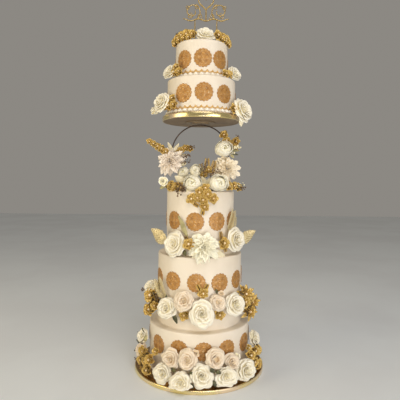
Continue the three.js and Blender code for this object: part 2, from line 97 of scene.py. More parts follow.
def around(azimuth: float, distance: float, height: float) -> np.ndarray:
    """The point at an azimuth, a distance from the cake's axis and a height."""
    angle = math.radians(azimuth)
    return np.array([distance * math.sin(angle), -distance * math.cos(angle), height])


def outward(azimuth: float, lift: float = 0.0) -> np.ndarray:
    """The unit direction that looks outward at an azimuth and rises by `lift` degrees."""
    return around(azimuth, math.cos(math.radians(lift)), math.sin(math.radians(lift)))


def unit(vector: np.ndarray) -> np.ndarray:
    """The vector at a length of one."""
    return vector / max(float(np.linalg.norm(vector)), 1e-9)


def smooth(value: np.ndarray, low: float, high: float) -> np.ndarray:
    """0 below `low`, 1 above `high`, and an even S between them."""
    t = np.clip((value - low) / (high - low), 0, 1)
    return t * t * (3 - 2 * t)


def facing_turn(direction: np.ndarray, spin: float = 0.0) -> Matrix:
    """The rotation that points +Z along a direction, after a spin in radians about it."""
    look = Vector(direction).to_track_quat("Z", "Y")
    return (look @ Quaternion((0, 0, 1), spin)).to_matrix()


# ---- meshes ---------------------------------------------------------------------


@dataclass
class Form:
    """A closed mesh in millimetres, with marks that the finishes read.

    Attributes:
        points: places, one row a point.
        faces: corner numbers of each face.
        marks: each point's place across and along its petal or leaf, and its relief, from which the finishes
            paint shade and highlight.
        whorl: 0 in the heart of a flower, 1 at its outermost petals.
    """

    points: np.ndarray
    faces: list[tuple[int, ...]]
    marks: np.ndarray
    whorl: np.ndarray

    @staticmethod
    def bare(points: np.ndarray, faces: list[tuple[int, ...]]) -> "Form":
        """A form whose marks are all zero."""
        count = len(points)
        return Form(np.asarray(points, float), faces, np.zeros((count, 3)), np.zeros(count))

    @staticmethod
    def joined(forms: "Sequence[Form]") -> "Form":
        """Several forms as one."""
        starts = np.cumsum([0, *(len(form.points) for form in forms)]).tolist()
        faces = [tuple(corner + start for corner in face)
                 for form, start in zip(forms, starts) for face in form.faces]
        parts = zip(*((form.points, form.marks, form.whorl) for form in forms))
        rows = [np.concatenate(part) for part in parts]
        return Form(rows[0], faces, rows[1], rows[2])

    def placed(self, place: Sequence[float], turn: Matrix | None = None, scale: float = 1.0) -> "Form":
        """A copy that is scaled, turned and then moved."""
        points = (self.points * scale) @ np.array(turn or Matrix.Identity(3)).T + np.asarray(place, float)
        return Form(points, self.faces, self.marks, self.whorl)

    def mesh(self, name: str) -> Mesh:
        """The form as a smooth-shaded mesh in metres, with its marks as attributes."""
        mesh = bpy.data.meshes.new(name)
        mesh.from_pydata((self.points * MM).tolist(), [], self.faces)
        mark(mesh, "marks", "FLOAT_VECTOR", self.marks)
        mark(mesh, "whorl", "FLOAT", self.whorl)
        mesh.shade_smooth()
        return mesh

    def piece(self, name: str, finish: "Finish") -> Object:
        """The form as an object of one material."""
        return piece_of(self.mesh(name), name, dressed(finish))


def mark(mesh: Mesh, name: str, kind: str, values: Sequence) -> None:
    """Stores a value, or a vector, on each of a mesh's points."""
    made = mesh.attributes.new(name, kind, "POINT")
    numbers = np.asarray(values, np.int32 if kind == "INT" else np.float32).ravel()
    made.data.foreach_set("vector" if kind == "FLOAT_VECTOR" else "value", numbers)


def piece_of(mesh: Mesh, name: str, *materials: Material) -> Object:
    """Links a mesh into the scene as an object.

    Args:
        mesh: the finished mesh, in metres.
        name: the object's name.
        materials: put on the mesh in order; none keeps those that it has.

    Returns:
        The new object.
    """
    made = bpy.data.objects.new(name, mesh)
    mesh.name = name
    bpy.context.scene.collection.objects.link(made)
    if materials:
        mesh.materials.clear()
        for material in materials:
            mesh.materials.append(material)
    return made


def settle(made: Object, slot: Slot, *nodes: str) -> Object:
    """Makes a piece ride on the cake in place of the nodes that it stands for."""
    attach(made, "root")
    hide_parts(*nodes)
    LOG.info("%s: %d faces, for %s", made.name, len(made.data.polygons), ", ".join(nodes))
    return made


@lru_cache(maxsize=None)
def shell_faces(rows: int, columns: int) -> tuple[tuple[int, ...], ...]:
    """The faces of a thin closed shell over a grid: front, back and the rim between them."""
    back = rows * columns
    faces = []
    for i in range(rows - 1):
        for j in range(columns - 1):
            corner = i * columns + j
            front = (corner, corner + 1, corner + columns + 1, corner + columns)
            faces.append(front)
            faces.append(tuple(back + k for k in reversed(front)))
    rim = [j for j in range(columns)]
    rim += [i * columns + columns - 1 for i in range(1, rows)]
    rim += [(rows - 1) * columns + j for j in range(columns - 2, -1, -1)]
    rim += [i * columns for i in range(rows - 2, 0, -1)]
    for here, after in zip(rim, rim[1:] + rim[:1]):
        faces.append((after, here, back + here, back + after))
    return tuple(faces)


def sheet(grid: np.ndarray, thickness: float, whorl: float = 0.0, rim: float = 0.45) -> Form:
    """A thin closed shell round a grid of points, thinner towards its rim.

    Args:
        grid: rows by columns by three; rows run from the root to the tip.
        thickness: at the middle of the sheet.
        whorl: the value that all of its points get.
        rim: the share of the thickness that is left at the rim.

    Returns:
        The shell.
    """
    rows, columns = grid.shape[:2]
    normal = np.cross(np.gradient(grid, axis=1), np.gradient(grid, axis=0))
    normal /= np.linalg.norm(normal, axis=2, keepdims=True) + 1e-9
    across = np.linspace(-1, 1, columns)[None, :].repeat(rows, 0)
    along = np.linspace(0, 1, rows)[:, None].repeat(columns, 1)
    inward = np.minimum(np.minimum(1 - np.abs(across), 1 - along) * 4, 1)
    half = thickness / 2 * (rim + (1 - rim) * np.maximum(inward, 0))[..., None]
    points = np.concatenate([(grid + normal * half).reshape(-1, 3), (grid - normal * half).reshape(-1, 3)])
    marks = np.stack([across, along, np.zeros_like(across)], -1).reshape(-1, 3)
    faces = list(shell_faces(rows, columns))
    return Form(points, faces, np.concatenate([marks, marks]), np.full(len(points), whorl))


def capped(rings: np.ndarray, sides: int, low: Sequence[float], high: Sequence[float]) -> Form:
    """A closed form from rings of points, with a point in the middle of each end.

    Args:
        rings: the points, ring after ring.
        sides: how many points a ring has.
        low: the point that closes the first ring.
        high: the point that closes the last one.

    Returns:
        The closed form.
    """
    last = len(rings) - sides
    faces = []
    for j in range(sides):
        after = (j + 1) % sides
        faces += [(last + sides, after, j), (last + sides + 1, last + j, last + after)]
        faces += [(i + j, i + after, i + sides + after, i + sides + j) for i in range(0, last, sides)]
    return Form.bare(np.concatenate([rings, [low, high]]), faces)


def lathe(profile: Sequence[tuple[float, float]], sides: int) -> Form:
    """A solid of revolution about +Z.

    Args:
        profile: (radius, height) from the foot of the axis to its top; both ends on the axis.
        sides: how many faces go round.

    Returns:
        The closed solid.
    """
    radius, height = np.array(profile[1:-1], float).T
    turn = np.arange(sides) * 2 * math.pi / sides
    ring = np.stack([np.sin(turn), -np.cos(turn)], -1)
    around_axis = (radius[:, None, None] * ring).reshape(-1, 2)
    body = np.concatenate([around_axis, height.repeat(sides)[:, None]], axis=1)
    return capped(body, sides, (0, 0, profile[0][1]), (0, 0, profile[-1][1]))


def spindle(width: float, depth: float, height: float, sides: int = 8, rows: int = 5) -> Form:
    """A closed lens that comes to a point at both ends of its height, standing on the origin.

    Args:
        width: along X.
        depth: along Y.
        height: along Z.
        sides: faces round it.
        rows: rings between the points.

    Returns:
        The lens.
    """
    steps = np.linspace(0, 1, rows + 2)
    made = lathe([(math.sin(math.pi * t), t * height) for t in steps], sides)
    made.points[:, :2] *= (width / 2, depth / 2)
    made.marks[:, 1] = made.points[:, 2] / height
    return made


def ball(radius: float, sides: int = 10, rows: int = 5) -> Form:
    """A sphere about the origin."""
    angles = np.linspace(-math.pi / 2, math.pi / 2, rows + 2)
    return lathe([(radius * math.cos(a), radius * math.sin(a)) for a in angles], sides)


def tube(path: Sequence[Sequence[float]], radii: Sequence[float], sides: int = 6,
         flat: tuple[float, np.ndarray] | None = None) -> Form:
    """A closed round rod along a path.

    Args:
        path: the points that it follows.
        radii: its radius at each of them.
        sides: faces round it.
        flat: (half-depth, axis) makes its section an oval of that half-depth along the axis.

    Returns:
        The rod, with both ends closed.
    """
    line = np.asarray(path, float)
    ahead = np.gradient(line, axis=0)
    ahead /= np.linalg.norm(ahead, axis=1, keepdims=True) + 1e-9
    side = np.cross(ahead[0], [0, 0, 1] if abs(ahead[0][2]) < 0.9 else [1, 0, 0])
    turn = 2 * math.pi * np.arange(sides)[:, None] / sides
    rings = []
    for here, forward, radius in zip(line, ahead, radii):
        if flat:
            thick, other = flat
            side = unit(np.cross(forward, other))
        else:
            side = unit(side - forward * (side @ forward))
            thick, other = radius, np.cross(forward, side)
        rings.append(here + side * radius * np.cos(turn) + other * thick * np.sin(turn))
    return outward_facing(capped(np.concatenate(rings), sides, line[0], line[-1]))


def outward_facing(form: Form) -> Form:
    """The form with its faces turned to point out, judged by its signed volume."""
    volume = 0.0
    for face in form.faces:
        a = form.points[face[0]]
        for b, c in zip(face[1:], face[2:]):
            volume += float(np.dot(a, np.cross(form.points[b], form.points[c])))
    if volume >= 0:
        return form
    return Form(form.points, [tuple(reversed(face)) for face in form.faces], form.marks, form.whorl)


# ---- node trees -----------------------------------------------------------------

Feed = NodeSocket | float | int | tuple


class Wiring:
    """Adds nodes to a tree and links them by value."""

    COLUMN_WIDTH = 180

    def __init__(self, tree: NodeTree) -> None:
        """Starts at the left of an empty tree."""
        self.tree = tree
        self.count = 0

    def feed(self, node: Node, feeds: dict) -> None:
        """Gives a node's inputs their value or socket, by name or by number."""
        for key, value in feeds.items():
            if isinstance(value, NodeSocket):
                self.tree.links.new(value, node.inputs[key])
            else:
                node.inputs[key].default_value = value

    def ended(self, out: Node, **results: NodeSocket) -> NodeTree:
        """The tree, after its output node has got its results."""
        self.feed(out, results)
        return self.tree

    def node(self, kind: str, feeds: dict | None = None, **settings: object) -> Node:
        """Adds a node.

        Args:
            kind: its type.
            feeds: value or socket for each input, by name or by number.
            settings: the node's own properties.

        Returns:
            The node.
        """
        made = self.tree.nodes.new(kind)
        made.location = (self.COLUMN_WIDTH * self.count, 0)
        self.count += 1
        for name, value in settings.items():
            setattr(made, name, value)
        self.feed(made, feeds or {})
        return made

    def first(self, kind: str, feeds: dict | None = None, **settings: object) -> NodeSocket:
        """Adds a node and gives its first output."""
        return self.node(kind, feeds, **settings).outputs[0]

    def math(self, operation: str, *values: Feed) -> NodeSocket:
        """The result of one sum on one to three values."""
        return self.first("ShaderNodeMath", dict(enumerate(values)), operation=operation)

    def times(self, one: Feed, other: Feed) -> NodeSocket:
        """The product of two values."""
        return self.math("MULTIPLY", one, other)

    def plus(self, one: Feed, other: Feed) -> NodeSocket:
        """The sum of two values."""
        return self.math("ADD", one, other)

    def vector(self, x: Feed, y: Feed, z: Feed) -> NodeSocket:
        """Three values as a vector."""
        return self.first("ShaderNodeCombineXYZ", {0: x, 1: y, 2: z})

    def blend(self, share: Feed, first: Feed, second: Feed) -> NodeSocket:
        """A value that goes from the first to the second as the share goes from 0 to 1."""
        return self.first("ShaderNodeMix", {0: share, 2: first, 3: second}, data_type="FLOAT")

    def tint(self, share: Feed, first: Feed, second: Feed) -> NodeSocket:
        """A colour that goes from the first to the second as the share goes from 0 to 1."""
        return self.node("ShaderNodeMix", {0: share, 6: first, 7: second}, data_type="RGBA").outputs[2]

    def band(self, value: Feed, low: Feed, high: Feed, start: Feed = 0.0, end: Feed = 1.0) -> NodeSocket:
        """`start` where the value is below `low`, `end` above `high`, even between them."""
        feeds = {"Value": value, "From Min": low, "From Max": high, "To Min": start, "To Max": end}
        return self.first("ShaderNodeMapRange", feeds, clamp=True, interpolation_type="SMOOTHSTEP")

    def noise(self, place: Feed, scale: Feed, detail: float = 3.0, roughness: float = 0.55) -> NodeSocket:
        """Soft random values over a place."""
        feeds = {"Vector": place, "Scale": scale, "Detail": detail, "Roughness": roughness}
        return self.first("ShaderNodeTexNoise", feeds)

    def cells(self, place: Feed, scale: Feed) -> Sequence[NodeSocket]:
        """A field of random cells: their distance, a colour for each and its place."""
        return self.node("ShaderNodeTexVoronoi", {"Vector": place, "Scale": scale}).outputs

    def marks(self) -> Sequence[NodeSocket]:
        """The mesh's own marks: across, along and relief."""
        read = self.node("ShaderNodeAttribute", attribute_name="marks", attribute_type="GEOMETRY")
        return self.node("ShaderNodeSeparateXYZ", {0: read.outputs["Vector"]}).outputs

    def place(self) -> NodeSocket:
        """Where on the object a shaded point is."""
        return self.node("ShaderNodeTexCoord").outputs["Object"]

    def named(self, name: str, kind: str) -> NodeSocket:
        """An attribute of the carrier's points, in a geometry tree."""
        return self.first("GeometryNodeInputNamedAttribute", {"Name": name}, data_type=kind)

    def drawn(self, low: Feed, high: Feed, seed: NodeSocket, offset: int) -> NodeSocket:
        """A random value between two others, one of several from the same seed."""
        feeds = {2: low, 3: high, "Seed": self.plus(seed, float(offset))}
        return self.node("FunctionNodeRandomValue", feeds, data_type="FLOAT").outputs[1]

    def turned(self, angles: NodeSocket) -> NodeSocket:
        """Euler angles as a rotation."""
        return self.first("FunctionNodeEulerToRotation", {0: angles})

    def copy_of(self, source: NodeSocket) -> NodeSocket:
        """An object as one instance."""
        feeds = {"Object": source, "As Instance": True}
        return self.node("GeometryNodeObjectInfo", feeds).outputs["Geometry"]

    def pieces_of(self, source: NodeSocket) -> NodeSocket:
        """A collection's objects as instances to pick from."""
        feeds = {"Collection": source, "Separate Children": True, "Reset Children": True}
        return self.first("GeometryNodeCollectionInfo", feeds)


KIND = {
    "float": "NodeSocketFloat", "int": "NodeSocketInt", "colour": "NodeSocketColor",
    "object": "NodeSocketObject", "collection": "NodeSocketCollection", "material": "NodeSocketMaterial",
    "geometry": "NodeSocketGeometry",
}
Opened = tuple[Wiring, Sequence[NodeSocket], Node]


def open_tree(name: str, editor: str, inputs: dict[str, str], outputs: dict[str, str]) -> Opened:
    """Starts a node group with named inputs and outputs.

    Args:
        name: the group's name.
        editor: the tree's type.
        inputs: kind of each input, by name.
        outputs: kind of each output, by name.

    Returns:
        The wiring, the group's input sockets by name, and its output node.
    """
    tree = bpy.data.node_groups.new(name, editor)
    for way, sockets in (("INPUT", inputs), ("OUTPUT", outputs)):
        for label, kind in sockets.items():
            tree.interface.new_socket(name=label, in_out=way, socket_type=KIND[kind])
    net = Wiring(tree)
    return net, net.node("NodeGroupInput").outputs, net.node("NodeGroupOutput")


# ---- shared shader groups -------------------------------------------------------


def mottle_group() -> NodeTree:
    """Two colours in soft uneven patches, and the patches as a height."""
    net, given, out = open_tree(
        "mottle", "ShaderNodeTree",
        {"Colour": "colour", "Patches": "colour", "Scale": "float", "Amount": "float"},
        {"Colour": "colour", "Height": "float"},
    )
    broad = net.noise(net.place(), given["Scale"], detail=4.0)
    share = net.times(net.band(broad, 0.38, 0.62), given["Amount"])
    return net.ended(out, Colour=net.tint(share, given["Colour"], given["Patches"]), Height=broad)


def grain_group() -> NodeTree:
    """Fine grain over a coarser one, as a height."""
    net, given, out = open_tree(
        "grain", "ShaderNodeTree", {"Scale": "float", "Coarse": "float"}, {"Height": "float"},
    )
    place = net.place()
    fine = net.noise(place, given["Scale"], detail=5.0, roughness=0.65)
    coarse = net.noise(place, net.times(given["Scale"], 0.12), detail=2.0)
    return net.ended(out, Height=net.plus(fine, net.times(coarse, given["Coarse"])))


def petal_group() -> NodeTree:
    """A petal's colour from painted shade at its root to a painted highlight on its rim, its veins, and a
    warmer heart.
    """
    net, given, out = open_tree(
        "petal", "ShaderNodeTree",
        {"Heart": "colour", "Root": "colour", "Body": "colour", "Rim": "colour", "Heart Size": "float"},
        {"Colour": "colour", "Height": "float"},
    )
    across, along, _ = net.marks()
    whorl = net.node("ShaderNodeAttribute", attribute_name="whorl", attribute_type="GEOMETRY").outputs["Fac"]
    uneven = net.noise(net.place(), 60.0)
    # Painted shade: the colour darkens towards the petal's root.
    inner = net.tint(net.band(along, 0.1, 0.75), given["Root"], given["Body"])
    edge = net.math("MAXIMUM", net.band(along, 0.8, 1.0), net.band(net.math("ABSOLUTE", across), 0.8, 1.0))
    # Painted highlight: the colour pales along the petal's rim and sides.
    rimmed = net.tint(net.times(edge, 0.8), inner, given["Rim"])
    near = net.math("SUBTRACT", 1.0, net.band(whorl, 0.0, given["Heart Size"]))
    warmth = net.times(near, net.band(uneven, 0.2, 0.7, 0.75, 1.0))
    ribs = net.noise(net.vector(net.times(across, 14.0), net.times(along, 1.3), whorl), 1.0, detail=2.0)
    height = net.plus(ribs, net.times(uneven, 0.5))
    return net.ended(out, Colour=net.tint(warmth, rimmed, given["Heart"]), Height=height)


def gilding_group() -> NodeTree:
    """Gold paint with painted shade in the hollows, painted highlights on the crests, and painted glints on
    grains that sparkle.
    """
    net, given, out = open_tree(
        "gilding", "ShaderNodeTree",
        {"Hollow": "colour", "Body": "colour", "Crest": "colour", "Relief": "float", "Grains": "float",
         "Sparkle": "float"},
        {"Colour": "colour", "Roughness": "float", "Height": "float"},
    )
    place = net.place()
    patches = net.noise(place, 90.0, detail=4.0)
    level = net.plus(given["Relief"], net.times(net.math("SUBTRACT", patches, 0.5), 0.5))
    # Painted shade in the hollows and painted highlight on the crests.
    low = net.tint(net.band(level, 0.05, 0.5), given["Hollow"], given["Body"])
    painted = net.tint(net.band(level, 0.55, 1.0), low, given["Crest"])
    grains = net.cells(place, given["Grains"])
    glint = net.first("ShaderNodeSeparateXYZ", {0: grains["Color"]})
    # Painted glints on the brightest grains.
    bright = net.times(net.band(glint, 0.86, 0.96), given["Sparkle"])
    roughness = net.band(glint, 0.1, 0.95, 0.55, 0.22)
    height = net.math("SUBTRACT", patches, net.times(grains["Distance"], 0.6))
    return net.ended(out, Colour=net.tint(bright, painted, GLINT), Roughness=roughness, Height=height)


@lru_cache(maxsize=None)
def group(build: Callable[[], NodeTree]) -> NodeTree:
    """A shared group, built the first time that it is asked for."""
    return build()


# ---- finishes -------------------------------------------------------------------

Colour = tuple[float, float, float, float]
# Colour of the painted glints on gold grains.
GLINT = (1.0, 0.9, 0.62, 1.0)


def paint(code: str) -> Colour:
    """The linear colour that shaders take, from six hexadecimal digits of a display's colour."""
    shares = [int(code[k:k + 2], 16) / 255 for k in (0, 2, 4)]
    red, green, blue = (s / 12.92 if s <= 0.04045 else ((s + 0.055) / 1.055) ** 2.4 for s in shares)
    return (red, green, blue, 1.0)


class Coat:
    """A material under construction: its wiring and its Principled shader."""

    def __init__(self, name: str, roughness: float, metallic: float = 0.0, coat: float = 0.0) -> None:
        """Makes an empty material with one Principled shader.

        Args:
            name: the material's name.
            roughness: of the bare surface.
            metallic: 0 for sugar and petals, up to 1 for foil.
            coat: how much clear gloss lies on top.
        """
        self.material = bpy.data.materials.new(name)
        self.material.use_nodes = True
        self.material.node_tree.nodes.clear()
        self.net = Wiring(self.material.node_tree)
        feeds = {"Roughness": roughness, "Metallic": metallic, "Coat Weight": coat, "Coat Roughness": 0.15}
        self.shader = self.net.node("ShaderNodeBsdfPrincipled", feeds)
        self.net.node("ShaderNodeOutputMaterial", {"Surface": self.shader.outputs[0]})

    def shared(self, build: Callable[[], NodeTree], feeds: dict) -> Sequence[NodeSocket]:
        """Places a shared group with its own values and gives its outputs."""
        return self.net.node("ShaderNodeGroup", feeds, node_tree=group(build)).outputs

    def grain(self, scale: float, coarse: float) -> NodeSocket:
        """The height of fine grain."""
        return self.shared(grain_group, {"Scale": scale, "Coarse": coarse})["Height"]

    def mottle(self, colour: str, patches: str, scale: float, amount: float) -> NodeSocket:
        """Colours the surface in two tones and gives the height of their patches."""
        feeds = {"Colour": paint(colour), "Patches": paint(patches), "Scale": scale, "Amount": amount}
        mottled = self.shared(mottle_group, feeds)
        self.set("Base Color", mottled["Colour"])
        return mottled["Height"]

    def set(self, name: str, value: Feed) -> None:
        """Feeds one of the shader's inputs."""
        self.net.feed(self.shader, {name: value})

    def bump(self, height: NodeSocket, depth: float, strength: float) -> None:
        """Roughs up the surface by a height, `depth` millimetres deep."""
        feeds = {"Height": height, "Distance": depth * MM, "Strength": strength}
        self.set("Normal", self.net.first("ShaderNodeBump", feeds))


@dataclass(frozen=True)
class Icing:
    """Smooth ivory icing with faint palette-knife marks."""

    name: str = "ivory_icing"
    colour: str = "eee2cf"
    patches: str = "e8d9c2"

    def material(self) -> Material:
        """Builds the material."""
        coat = Coat(self.name, roughness=0.55)
        smears = coat.mottle(self.colour, self.patches, scale=9.0, amount=0.7)
        coat.set("Roughness", coat.net.band(smears, 0.3, 0.7, 0.48, 0.62))
        coat.bump(coat.grain(420.0, 2.0), depth=0.12, strength=0.5)
        return coat.material


@dataclass(frozen=True)
class Petals:
    """Soft matte petals, with painted shade that deepens them towards their roots and a painted highlight on
    their rims.
    """

    name: str
    heart: str
    # painted shade at the petal's root
    root: str
    body: str
    # painted highlight on the petal's rim
    rim: str
    heart_size: float

    def material(self) -> Material:
        """Builds the material."""
        coat = Coat(self.name, roughness=0.62)
        feeds = {"Heart": paint(self.heart), "Root": paint(self.root), "Body": paint(self.body),
                 "Rim": paint(self.rim), "Heart Size": self.heart_size}
        shaded = coat.shared(petal_group, feeds)
        coat.set("Base Color", shaded["Colour"])
        coat.set("Sheen Weight", 0.15)
        coat.bump(shaded["Height"], depth=0.5, strength=0.35)
        return coat.material


@dataclass(frozen=True)
class Gilding:
    """Gold paint with painted shade in the hollows and painted highlights on the crests, by the marks' relief
    or by their place along a petal.
    """

    name: str
    # painted shade in the hollows
    hollow: str
    body: str
    # painted highlight on the crests
    lit_crest: str
    metallic: float
    grains: float = 900.0
    sparkle: float = 0.4
    by_relief: bool = False
    depth: float = 0.4

    def material(self) -> Material:
        """Builds the material."""
        coat = Coat(self.name, roughness=0.4, metallic=self.metallic)
        _, along, relief = coat.net.marks()
        feeds = {"Hollow": paint(self.hollow), "Body": paint(self.body), "Crest": paint(self.lit_crest),
                 "Relief": relief if self.by_relief else along, "Grains": self.grains,
                 "Sparkle": self.sparkle}
        gilt = coat.shared(gilding_group, feeds)
        coat.set("Base Color", gilt["Colour"])
        coat.set("Roughness", gilt["Roughness"])
        coat.bump(gilt["Height"], self.depth, strength=0.6)
        return coat.material


@dataclass(frozen=True)
class Foil:
    """Gold foil on board: tiny wrinkles, and on top an embossed lattice."""

    name: str
    colour: str
    patches: str
    embossed: bool = False

    def material(self) -> Material:
        """Builds the material."""
        coat = Coat(self.name, roughness=0.24, metallic=0.95)
        wear = coat.mottle(self.colour, self.patches, scale=14.0, amount=0.9)
        height = coat.grain(160.0, 3.0)
        if self.embossed:
            cells = coat.net.cells(coat.net.place(), 85.0)["Distance"]
            height = coat.net.plus(height, coat.net.times(cells, 2.5))
        coat.set("Roughness", coat.net.band(wear, 0.3, 0.7, 0.16, 0.34))
        coat.bump(height, depth=0.5, strength=0.5)
        return coat.material


@dataclass(frozen=True)
class Plain:
    """Wire, paper, pearl, leaf or berry: one mottled colour with grain and some gloss."""

    name: str
    colour: str
    patches: str
    roughness: float = 0.5
    metallic: float = 0.0
    gloss: float = 0.0
    scale: float = 60.0
    grain: float = 300.0
    depth: float = 0.15

    def material(self) -> Material:
        """Builds the material."""
        coat = Coat(self.name, self.roughness, self.metallic, self.gloss)
        coat.mottle(self.colour, self.patches, self.scale, amount=0.85)
        coat.bump(coat.grain(self.grain, 1.0), self.depth, strength=0.5)
        return coat.material


Finish = Icing | Petals | Gilding | Foil | Plain

# Each root colour below is painted shade, and each rim colour is a painted highlight.
WHITE_PETALS = Petals("white_rose_petals", heart="f4eac4", root="e8dab0", body="f6edd4", rim="fcf6e6",
                      heart_size=0.15)
CREAM_PETALS = Petals("cream_ball_petals", heart="faf2d0", root="f8f0d0", body="fbf4dc", rim="fefaec",
                      heart_size=0.3)
BLUSH_PETALS = Petals("blush_rose_petals", heart="f4e2ba", root="d8bc96", body="efdcc0", rim="f6e8d2",
                      heart_size=0.15)
PINK_DAHLIA = Petals("pink_hearted_dahlia", heart="f6e8d6", root="f0e4d2", body="fcf8ee", rim="fefbf6",
                     heart_size=0.55)
ROUND_DAHLIA = Petals("blush_dahlia", heart="faecd0", root="eedac0", body="fdf7ec", rim="fefbf4",
                      heart_size=0.4)
WHITE_DAHLIA = Petals("white_dahlia", heart="faf4da", root="ece4d6", body="fcfbf8", rim="fffffe",
                      heart_size=0.2)
# Each hollow colour below is painted shade and each crest colour is a painted highlight. Their grains get
# painted glints.
GOLD_PETALS = Gilding("antique_gold_petals", hollow="624618", body="be9642", lit_crest="e6c672", metallic=0.4)
COPPER_LACE = Gilding("copper_sugar_lace", hollow="7a4a1e", body="b88441", lit_crest="d6a65e", metallic=0.22,
                      grains=700.0, by_relief=True, depth=0.35)
# A darker copy of the gold for a cluster's core: painted shade in the gaps between its pieces.
SHADED_GOLD_CORE = Gilding("gold_moss", hollow="543c1a", body="8e6e36", lit_crest="b6924e", metallic=0.3, sparkle=0.3,
                    depth=1.2)
BORDER_GOLD = Gilding("border_gold", hollow="825622", body="c4944a", lit_crest="e2b86e", metallic=0.4)
GLITTER = Gilding("topper_glitter", hollow="a88c4e", body="d0b674", lit_crest="ecd698", metallic=0.7,
                  grains=1500.0, sparkle=1.0, depth=0.5)
PALE_GOLD_LEAF = Gilding("pale_gold_leaf", hollow="806838", body="d0bc8a", lit_crest="f0e2b8", metallic=0.3,
                         sparkle=0.15, by_relief=True)
RIM_FOIL = Foil("rim_foil", "f6e29e", "f6e0c2")
# Painted shade: the upper face's foil is a darker copy of the rim foil, for the roses' shadow on it.
SHADED_TOP_FOIL = Foil("embossed_foil", "b08846", "8c6438", embossed=True)
# Painted shade: the underside paper is dark taupe for the shade under the board.
SHADED_PAPER = Plain("taupe_paper", "887358", "79654d", roughness=0.6, scale=20.0)
CAP_METAL = Plain("brushed_cap", "968062", "806c52", roughness=0.45, metallic=0.3)
DARK_WIRE = Plain("bronze_wire", "5e4b3e", "40332b", roughness=0.38, metallic=0.85)
PEARL_LUSTRE = Plain("pearl_lustre", "faf5e8", "f4ebd8", roughness=0.25, gloss=0.6, depth=0.03)
CHAMPAGNE = Plain("champagne_pearl", "fcecc8", "f0d6a6", roughness=0.2, gloss=0.7, depth=0.03)
CREAM_LEAF = Plain("cream_leaf", "f0e6ca", "e0d2aa", roughness=0.6)
SAGE_LEAF = Plain("sage_leaf", "baae7c", "968e62", roughness=0.55)
OLIVE_LEAF = Plain("olive_leaf", "605c36", "3c3c24", roughness=0.5)
SAGE_STEM = Plain("sage_stem", "80845c", "626846", roughness=0.55)
BROWN_BERRY = Plain("brown_berry", "70502c", "46301a", roughness=0.35, gloss=0.4)
PALE_FLOOR = Plain("pale_floor", "ecf0f2", "e6e9eb", roughness=0.8, scale=1.5, grain=40.0, depth=0.05)
TWIG = Plain("twig", "685030", "463420", roughness=0.6)


@lru_cache(maxsize=None)
def dressed(finish: Finish) -> Material:
    """The finish's material, built the first time that it is asked for."""
    return finish.material()


# ---- geometry trees -------------------------------------------------------------

DRESS = {"Material": "material", "Pearl Material": "material"}
SPANS = ("Tilt", "Size", "Radius", "Height")
MOST_PER_AREA = 40000.0
WHOLE_SPIN = 6.28


def open_growth(name: str, inputs: dict[str, str]) -> Opened:
    """Starts a geometry tree whose result has a material, and another for its pearls."""
    return open_tree(name, "GeometryNodeTree", inputs | DRESS, {"Geometry": "geometry"})


def planted(opened: Opened, feeds: dict) -> NodeTree:
    """Ends a geometry tree: instances on points, made real and given their materials.

    Args:
        opened: the tree's wiring, its inputs and its output node.
        feeds: of the node that puts the instances on the points.

    Returns:
        The finished tree.
    """
    net, given, out = opened
    copies = net.first("GeometryNodeInstanceOnPoints", feeds)
    real = net.first("GeometryNodeRealizeInstances", {"Geometry": copies})
    main = net.first("GeometryNodeSetMaterial", {"Geometry": real, "Material": given["Material"]})
    chosen = net.math("GREATER_THAN", net.named("pearl", "FLOAT"), 0.5)
    feeds = {"Geometry": main, "Selection": chosen, "Material": given["Pearl Material"]}
    return net.ended(out, Geometry=net.first("GeometryNodeSetMaterial", feeds))


def whorl_tree() -> NodeTree:
    """Petals in rings about +Z, each ring turned half a petal from the last one."""
    pairs = {f"{end} {span}": "float" for span in SPANS for end in ("Inner", "Outer")}
    opened = open_growth("whorled_flower", {"Petal": "object", "Petals": "int", "Whorls": "int", **pairs,
                                            "Unevenness": "float", "Seed": "int"})
    net, given, _ = opened
    index = net.first("GeometryNodeInputIndex")
    ring = net.math("FLOOR", net.math("DIVIDE", net.plus(index, 0.5), given["Petals"]))
    last = net.math("MAXIMUM", net.math("SUBTRACT", given["Whorls"], 1.0), 1.0)
    share = net.math("DIVIDE", ring, last)
    tilt, size, radius, height = (
        net.blend(share, given["Inner " + span], given["Outer " + span]) for span in SPANS)
    turn_error, tilt_error, size_error = (
        net.times(net.drawn(-1.0, 1.0, given["Seed"], offset), given["Unevenness"]) for offset in (1, 2, 3))
    step = net.math("DIVIDE", 2 * math.pi, given["Petals"])
    turn = net.times(step, net.plus(index, net.times(ring, 0.5)))
    turn = net.plus(turn, net.times(turn_error, 0.5))
    y = net.times(net.times(radius, -1.0), net.math("COSINE", turn))
    place = net.vector(net.times(radius, net.math("SINE", turn)), y, height)
    points = net.first("GeometryNodePoints", {"Count": net.times(given["Petals"], given["Whorls"])})
    points = net.first("GeometryNodeSetPosition", {"Geometry": points, "Position": place})
    feeds = {"Geometry": points, "Name": "whorl", "Value": share}
    points = net.first("GeometryNodeStoreNamedAttribute", feeds, data_type="FLOAT", domain="POINT")
    spin = net.turned(net.vector(net.plus(tilt, tilt_error), 0.0, turn))
    return planted(opened, {"Points": points, "Instance": net.copy_of(given["Petal"]), "Rotation": spin,
                            "Scale": net.times(size, net.plus(1.0, size_error))})


def ring_tree() -> NodeTree:
    """A piece repeated evenly about +Z."""
    opened = open_growth("ring_of_pieces", {"Piece": "object", "Count": "int"})
    net, given, _ = opened
    points = net.first("GeometryNodePoints", {"Count": given["Count"]})
    step = net.math("DIVIDE", 2 * math.pi, given["Count"])
    turn = net.times(net.first("GeometryNodeInputIndex"), step)
    return planted(opened, {"Points": points, "Instance": net.copy_of(given["Piece"]),
                            "Rotation": net.turned(net.vector(0.0, 0.0, turn))})


